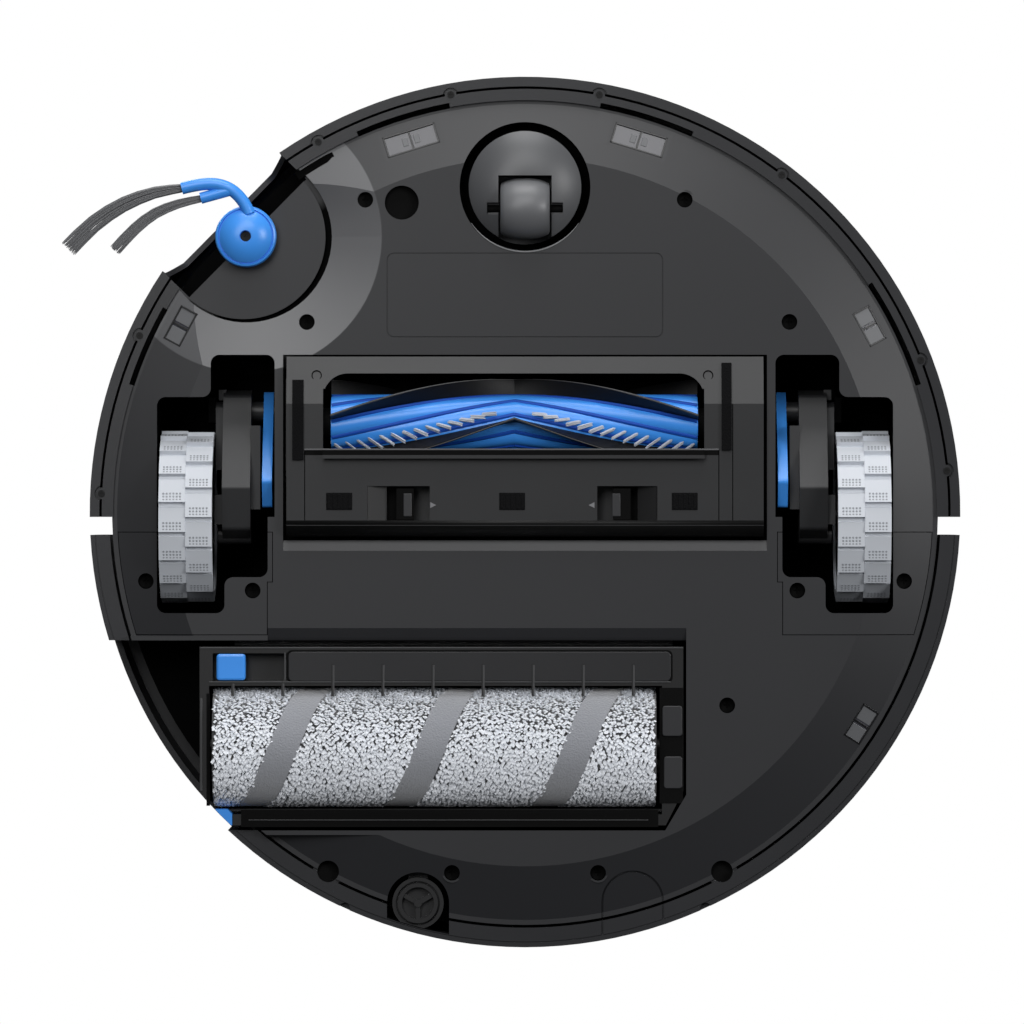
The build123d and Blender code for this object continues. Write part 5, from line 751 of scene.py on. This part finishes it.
# Each grey rubber tyre on its black rim hangs in a swing arm with its motor and spring, and a blue
# lever beside it lifts the robot over sills. Small raised dots stand in three rows near the crest
# of every tread lug.
lever_rounding = 0.0011
tyre_middle_x, tyre_middle_y, tyre_middle_z = 0.1373, 0.002, 0.035
tyre_half_width = 0.01075
lug_count = 18
lug_step = 2 * pi / lug_count
lug_foot_radius, lug_height, lug_flat, lug_rise = 0.0338, 0.0012, 0.18, 0.82
dots_across, dots_around, dot_inset, dot_pitch = 6, 3, 0.0020, 0.00135
first_dot, dot_row_step = 0.70, 0.11
dot_radius, dot_sunk, dot_peak = 0.00045, 0.00012, 0.0001


def round_edges(width, *names):
    """Rounds the sharp edges of CAD nodes as moulded pieces have them."""
    for name in names:
        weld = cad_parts[name].modifiers.new("weld", "WELD")
        weld.merge_threshold = 0.00001
        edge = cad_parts[name].modifiers.new("edge", "BEVEL")
        edge.width = width
        edge.segments = 3
        edge.limit_method = "ANGLE"
        edge.angle_limit = radians(50)


def tyre_dots(side):
    """Dots on both rows of lugs of one tyre."""
    mesh = bmesh.new()
    for row in range(2):
        for k in range(lug_count):
            start = -pi / 2 + lug_step * (k + row / 2)
            for across in range(dots_across):
                for around in range(dots_around):
                    x = side * (tyre_middle_x - tyre_half_width + row * tyre_half_width + dot_inset
                                + across * dot_pitch)
                    share = first_dot + around * dot_row_step
                    angle = start + share * lug_step
                    surface = lug_foot_radius + lug_height * (share - lug_flat) / lug_rise - dot_sunk
                    out = Vector((0, cos(angle), sin(angle)))
                    aside = Vector((0, -sin(angle), cos(angle)))
                    middle = Vector((x, tyre_middle_y, tyre_middle_z))
                    ring = [mesh.verts.new(middle + out * surface
                                           + dot_radius * (cos(j * pi / 3) * Vector((1, 0, 0))
                                                           + sin(j * pi / 3) * aside)) for j in range(6)]
                    peak = mesh.verts.new(middle + out * (surface + dot_peak))
                    for j in range(6):
                        mesh.faces.new((ring[j], ring[(j + 1) % 6], peak))
                    mesh.faces.new(ring[::-1])
    return mesh


tyre_rubber = moulded_plastic("tyre_rubber", (0.62, 0.65, 0.70), 0.6)
arm_plastic = moulded_plastic("arm_plastic", (0.026, 0.0265, 0.028), 0.45)
dot_grey = moulded_plastic("tyre_dot_grey", (0.34, 0.36, 0.39), 0.7)
for name, side in (("left", -1), ("right", 1)):
    dress(tyre_rubber, f"tyre_{name}")
    dress(arm_plastic, f"suspension_arm_{name}")
    dress(black_plastic, f"wheel_rim_{name}")
    dress(screw_black, f"arm_spring_{name}", f"drive_motor_{name}")
    dress(blue_plastic, f"climb_lever_{name}")
    round_edges(lever_rounding, f"climb_lever_{name}")
    make_piece(tyre_dots(side), f"tyre_dots_{name}", dot_grey, f"wheel_{name}")

# ------------------------------------------------------------------------------- roller mop

# Microfibre sleeve on a plastic core: short leaning tufts of white pile on a near-black backing, whose
# colour is painted shade in the gaps between the tufts, with a broad grey stripe wound round it. The
# backing, pile and stripe take the place of the plain sleeve. The blue button frees the roller, and the
# blue tab pulls it out.
sleeve_left_x, sleeve_right_x = -0.1265, 0.0531
sleeve_axle = sleeve_y, sleeve_z = 0.0955, 0.0248
sleeve_radius, sleeve_bore = 0.0245, 0.01505
pile_height, pile_margin, pile_rooted = 0.0016, 0.0008, 0.0002
stripe_pitch, stripe_width = 0.0595, 0.0126
stripe_sunk, stripe_margin, stripe_thickness = 0.0004, 0.0002, 0.001


def sleeve_backing():
    """Closed tube that the pile stands on."""
    mesh = bmesh.new()
    around = 96
    outer, inner = sleeve_radius - pile_height, sleeve_bore
    rings = []
    for x, radius in ((sleeve_left_x, inner), (sleeve_left_x, outer),
                      (sleeve_right_x, outer), (sleeve_right_x, inner)):
        rings.append([mesh.verts.new(round_axle(sleeve_axle, x, radius, 2 * pi * j / around))
                      for j in range(around)])
    join_rings(mesh, rings + rings[:1], ends=False)
    return mesh


def stripe_bands():
    """Close-cropped stripe wound round the sleeve, lap after lap, cut off at the sleeve's ends."""
    mesh = bmesh.new()
    around, across = 128, 12
    radius = sleeve_radius - stripe_sunk
    for lap in range(-3, 3):
        rows = []
        for j in range(around + 1):
            turn = 2 * pi * j / around
            start = lap * stripe_pitch - turn / (2 * pi) * stripe_pitch
            row = []
            for i in range(across + 1):
                x = min(max(start + stripe_width * i / across, sleeve_left_x + stripe_margin),
                        sleeve_right_x - stripe_margin)
                row.append(mesh.verts.new(round_axle(sleeve_axle, x, radius, turn)))
            rows.append(row)
        for near, far in zip(rows, rows[1:]):
            for i in range(across):
                near_width = (near[i + 1].co - near[i].co).length
                far_width = (far[i + 1].co - far[i].co).length
                if near_width > 1e-5 or far_width > 1e-5:
                    mesh.faces.new((near[i], near[i + 1], far[i + 1], far[i]))
    bmesh.ops.delete(mesh, geom=[v for v in mesh.verts if not v.link_faces], context="VERTS")
    bmesh.ops.remove_doubles(mesh, verts=mesh.verts, dist=1e-6)
    solid = bmesh.ops.extrude_face_region(mesh, geom=mesh.faces[:])
    for vert in [v for v in solid["geom"] if isinstance(v, bmesh.types.BMVert)]:
        out = Vector((0, vert.co.y - sleeve_y, vert.co.z - sleeve_z)).normalized()
        vert.co -= out * stripe_thickness
    return mesh


def white_pile():
    """Leaning tufts of the white pile, everywhere but in the stripe; about one in twelve is missing, so that
    the backing's painted shade shows.
    """
    chance = random.Random(23)
    mesh = bmesh.new()
    rows, columns = 140, 165
    corners = ((-1, 0), (0, -1), (1, 0), (0, 1))
    root = sleeve_radius - pile_height - pile_rooted
    for i in range(columns):
        for j in range(rows):
            x = (sleeve_left_x + pile_margin
                 + (i + chance.random()) / columns * (sleeve_right_x - sleeve_left_x - 2 * pile_margin))
            turn = 2 * pi * (j + chance.random()) / rows
            lap_share = ((x + turn / (2 * pi) * stripe_pitch) / stripe_pitch) % 1
            in_stripe = lap_share < stripe_width / stripe_pitch
            lean, drift = chance.uniform(0.01, 0.06), chance.uniform(-1, 1) * 0.0007
            reach = sleeve_radius - chance.random() ** 2 * 0.0008
            width = chance.uniform(0.00055, 0.00085)
            if in_stripe or chance.random() < 0.08:
                continue
            foot = [mesh.verts.new(round_axle(sleeve_axle, x + dx * width, root, turn + da * width / root))
                    for dx, da in corners]
            top = []
            for dx, da in corners:
                level = reach - 0.0003 + 0.0003 * da
                angle = turn + lean + da * width * 0.85 / reach
                top.append(mesh.verts.new(round_axle(sleeve_axle, x + drift + dx * width * 0.85,
                                                     level, angle)))
            join_rings(mesh, [foot, top])
    return mesh


def napped(name, colour):
    """Soft microfibre with a sheen."""
    material = moulded_plastic(name, colour, 0.9, grain=1.0, grain_per_metre=1400.0, grain_depth=0.0004,
                               cloud=0.3)
    surface = material.node_tree.nodes["Principled BSDF"]
    surface.inputs["Sheen Weight"].default_value = 1.0
    surface.inputs["Sheen Roughness"].default_value = 0.6
    return material


# The backing's near-black colour is painted shade between the tufts.
backing_painted_shade = napped("mop_backing", (0.02, 0.02, 0.022))
button_rounding = 0.0011
dress(black_plastic, "mop_roller_core", "mop_lifter", "water_port")
dress(blue_plastic, "mop_pull_tab", "mop_release_button")
round_edges(button_rounding, "mop_release_button")
dress(backing_painted_shade, "mop_sleeve")
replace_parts(make_piece(sleeve_backing(), "mop_backing", backing_painted_shade, "roller"), "mop_sleeve")
make_piece(white_pile(), "mop_pile_white", napped("microfibre_white", (0.90, 0.93, 0.985)), "roller")
make_piece(stripe_bands(), "mop_stripe_grey", napped("microfibre_grey", (0.265, 0.275, 0.305)), "roller")

# -------------------------------------------------------------------------------- mop frame

# Moulded black frame that holds the roller. On its front bar lies an inset panel with a rim and
# the teeth of a comb, at the right are the end pieces of the roller's holder, and a thin rib runs
# along the rear bar. The pale grey of the rim, of edge lines on the front bar and the left end and of
# the rib is painted highlight, and black plates paint shade into the gaps between them.
frame_low_z = 0.0115
arc_steps = 6


def rounded_outline(low_x, high_x, low_y, high_y, radius):
    """Rectangle in plan with round corners."""
    outline = []
    for corner_x, corner_y, start in (
            (high_x - radius, high_y - radius, 0), (low_x + radius, high_y - radius, 90),
            (low_x + radius, low_y + radius, 180), (high_x - radius, low_y + radius, 270)):
        for k in range(arc_steps + 1):
            turn = radians(start + 90 * k / arc_steps)
            outline.append((corner_x + radius * cos(turn), corner_y + radius * sin(turn)))
    return outline


dress(moulded_plastic("mop_frame_plastic", (0.006, 0.006, 0.0065), 0.4), "mop_frame")
# Black plates of painted shade in the gaps
gap_shade_plates = bmesh.new()
add_prism(gap_shade_plates, rounded_outline(-0.0966, 0.0598, 0.0559, 0.0692, 0.0022),
          frame_low_z - set_in, frame_low_z + set_in)
for low_x, high_x, front_y, rear_y in ((-0.1290, -0.1276, 0.0735, 0.1190), (0.0545, 0.0640, 0.0712, 0.1180),
                                       (-0.1150, 0.0540, 0.1206, 0.1276)):
    add_block(gap_shade_plates, (low_x, front_y, frame_low_z - set_in), (high_x, rear_y, frame_low_z + set_in))
make_piece(gap_shade_plates, "mop_frame_shades", line_black, "mop")
panel_proud = 0.0005
panel = bmesh.new()
add_prism(panel, rounded_outline(-0.0958, 0.0590, 0.0566, 0.0685, 0.0018),
          frame_low_z - panel_proud, frame_low_z)
make_piece(panel, "mop_frame_panel", moulded_plastic("mop_panel_grey", (0.012, 0.0122, 0.014), 0.4), "mop",
           bevel=0.0002)
tooth_count, first_tooth_x, tooth_pitch, tooth_half = 9, -0.1181, 0.02027, 0.0004
tooth_rear_y, short_tooth_y, long_tooth_y, short_teeth = 0.0746, 0.0695, 0.0620, 2
tooth_face, tooth_back = 0.0008, 0.0004
# Pale rim lines and rib of painted highlight, and the comb's teeth in the same grey
highlight_rims_and_teeth = bmesh.new()
for low_x, high_x, front_y, rear_y, proud, depth in (
        (-0.1318, 0.0641, 0.0547, 0.0553, 0.0003, set_in), (-0.0975, -0.0969, 0.0570, 0.0685, 0.0004, set_in),
        (-0.1280, 0.0590, 0.0686, 0.0691, 0.0004, set_in), (-0.1316, -0.1306, 0.0755, 0.1130, 0.0005, set_in),
        (-0.1120, 0.0500, 0.1246, 0.1249, 0.0003, 0.0)):
    add_block(highlight_rims_and_teeth, (low_x, front_y, frame_low_z - proud), (high_x, rear_y, frame_low_z + depth))
for tooth in range(tooth_count):
    tooth_x = first_tooth_x + tooth_pitch * tooth
    front_y = short_tooth_y if tooth < short_teeth else long_tooth_y
    add_block(highlight_rims_and_teeth, (tooth_x - tooth_half, front_y, frame_low_z - tooth_face),
              (tooth_x + tooth_half, tooth_rear_y, frame_low_z - tooth_back))
make_piece(highlight_rims_and_teeth, "mop_frame_rims", moulded_plastic("mop_highlight_and_teeth_grey", (0.05, 0.051, 0.053), 0.4), "mop",
           bevel=0.0001)
end_pieces = bmesh.new()
for low_x, front_y, rear_y, proud in ((0.0556, 0.0785, 0.0908, 0.0009), (0.0562, 0.0990, 0.1120, 0.0006)):
    add_prism(end_pieces, rounded_outline(low_x, 0.0637, front_y, rear_y, 0.0012),
              frame_low_z - proud, frame_low_z)
make_piece(end_pieces, "mop_end_cover", chassis_plastic, "mop", bevel=0.0004)

# ---------------------------------------------------------------------------- caster wheel

# Grey swivelling dome with a small rubber wheel on a black axle. A barrel-shaped wheel takes the
# place of the plain roll, and a thin pale line of painted highlight runs along the rear rim of the
# caster's well.
caster_pivot_y = 0.0449 - body_radius
roll_axle, roll_radius, roll_half = (caster_pivot_y + 0.0087, 0.0125), 0.0125, 0.010
roll_bore, roll_cheek, roll_shoulder, roll_bulge = 0.0017, 0.0093, 0.0004, 0.0024
roll_around, roll_steps = 64, 12
well_radius, well_highlight, well_highlight_end, well_turns = 0.0262, 0.00034, 0.00006, range(-56, 57, 4)


def barrel_wheel():
    """Wheel that bulges in the middle, with round shoulders and a bore for its axle."""
    mesh = bmesh.new()
    profile = [(-roll_half, roll_bore), (-roll_half, roll_cheek)]
    for k in range(roll_steps + 1):
        x = -roll_half + roll_shoulder + (2 * roll_half - 2 * roll_shoulder) * k / roll_steps
        profile.append((x, roll_radius - roll_bulge * abs(x / roll_half) ** 2.4))
    profile += [(roll_half, roll_cheek), (roll_half, roll_bore)]
    rings = [[mesh.verts.new(round_axle(roll_axle, x, radius, 2 * pi * j / roll_around))
              for j in range(roll_around)] for x, radius in profile]
    join_rings(mesh, rings + rings[:1], ends=False)
    return mesh


caster_rubber = moulded_plastic("caster_rubber", (0.13, 0.133, 0.14), 0.4)
dress(moulded_plastic("caster_grey", (0.085, 0.087, 0.092), 0.4), "caster_swivel")
dress(line_black, "caster_axle")
dress(caster_rubber, "caster_wheel")
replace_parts(make_piece(barrel_wheel(), "caster_barrel", caster_rubber, "caster_roll", smooth=True),
            "caster_wheel")
# Painted highlight along the rear rim of the well
rim_highlight = bmesh.new()
add_tube(rim_highlight, [(well_radius * sin(radians(turn)), caster_pivot_y + well_radius * cos(radians(turn)),
                     belly_z - 0.0001) for turn in well_turns],
         [well_highlight_end + well_highlight * cos(radians(turn * 1.5)) for turn in well_turns])
make_piece(rim_highlight, "caster_well_rim_highlight", moulded_plastic("rim_painted_highlight", (0.22, 0.223, 0.23), 0.4), "chassis")

# -------------------------------------------------------------------------- docking sockets

# Two round sockets near the rear take the pins of the charging dock. Black plugs close their far
# ends, so that no light comes through from inside, and their black is painted shade deep in the sockets.
socket_x, socket_y, plug_foot_z, plug_top_z, plug_radius = 0.0799, 0.1458, 0.0195, 0.0250, 0.00435
plugs = bmesh.new()
for plug_x in (-socket_x, socket_x):
    add_tube(plugs, [(plug_x, socket_y, plug_foot_z), (plug_x, socket_y, plug_top_z)], [plug_radius] * 2,
             sides=32)
make_piece(plugs, "dock_socket_shade_plugs", line_black, "chassis")
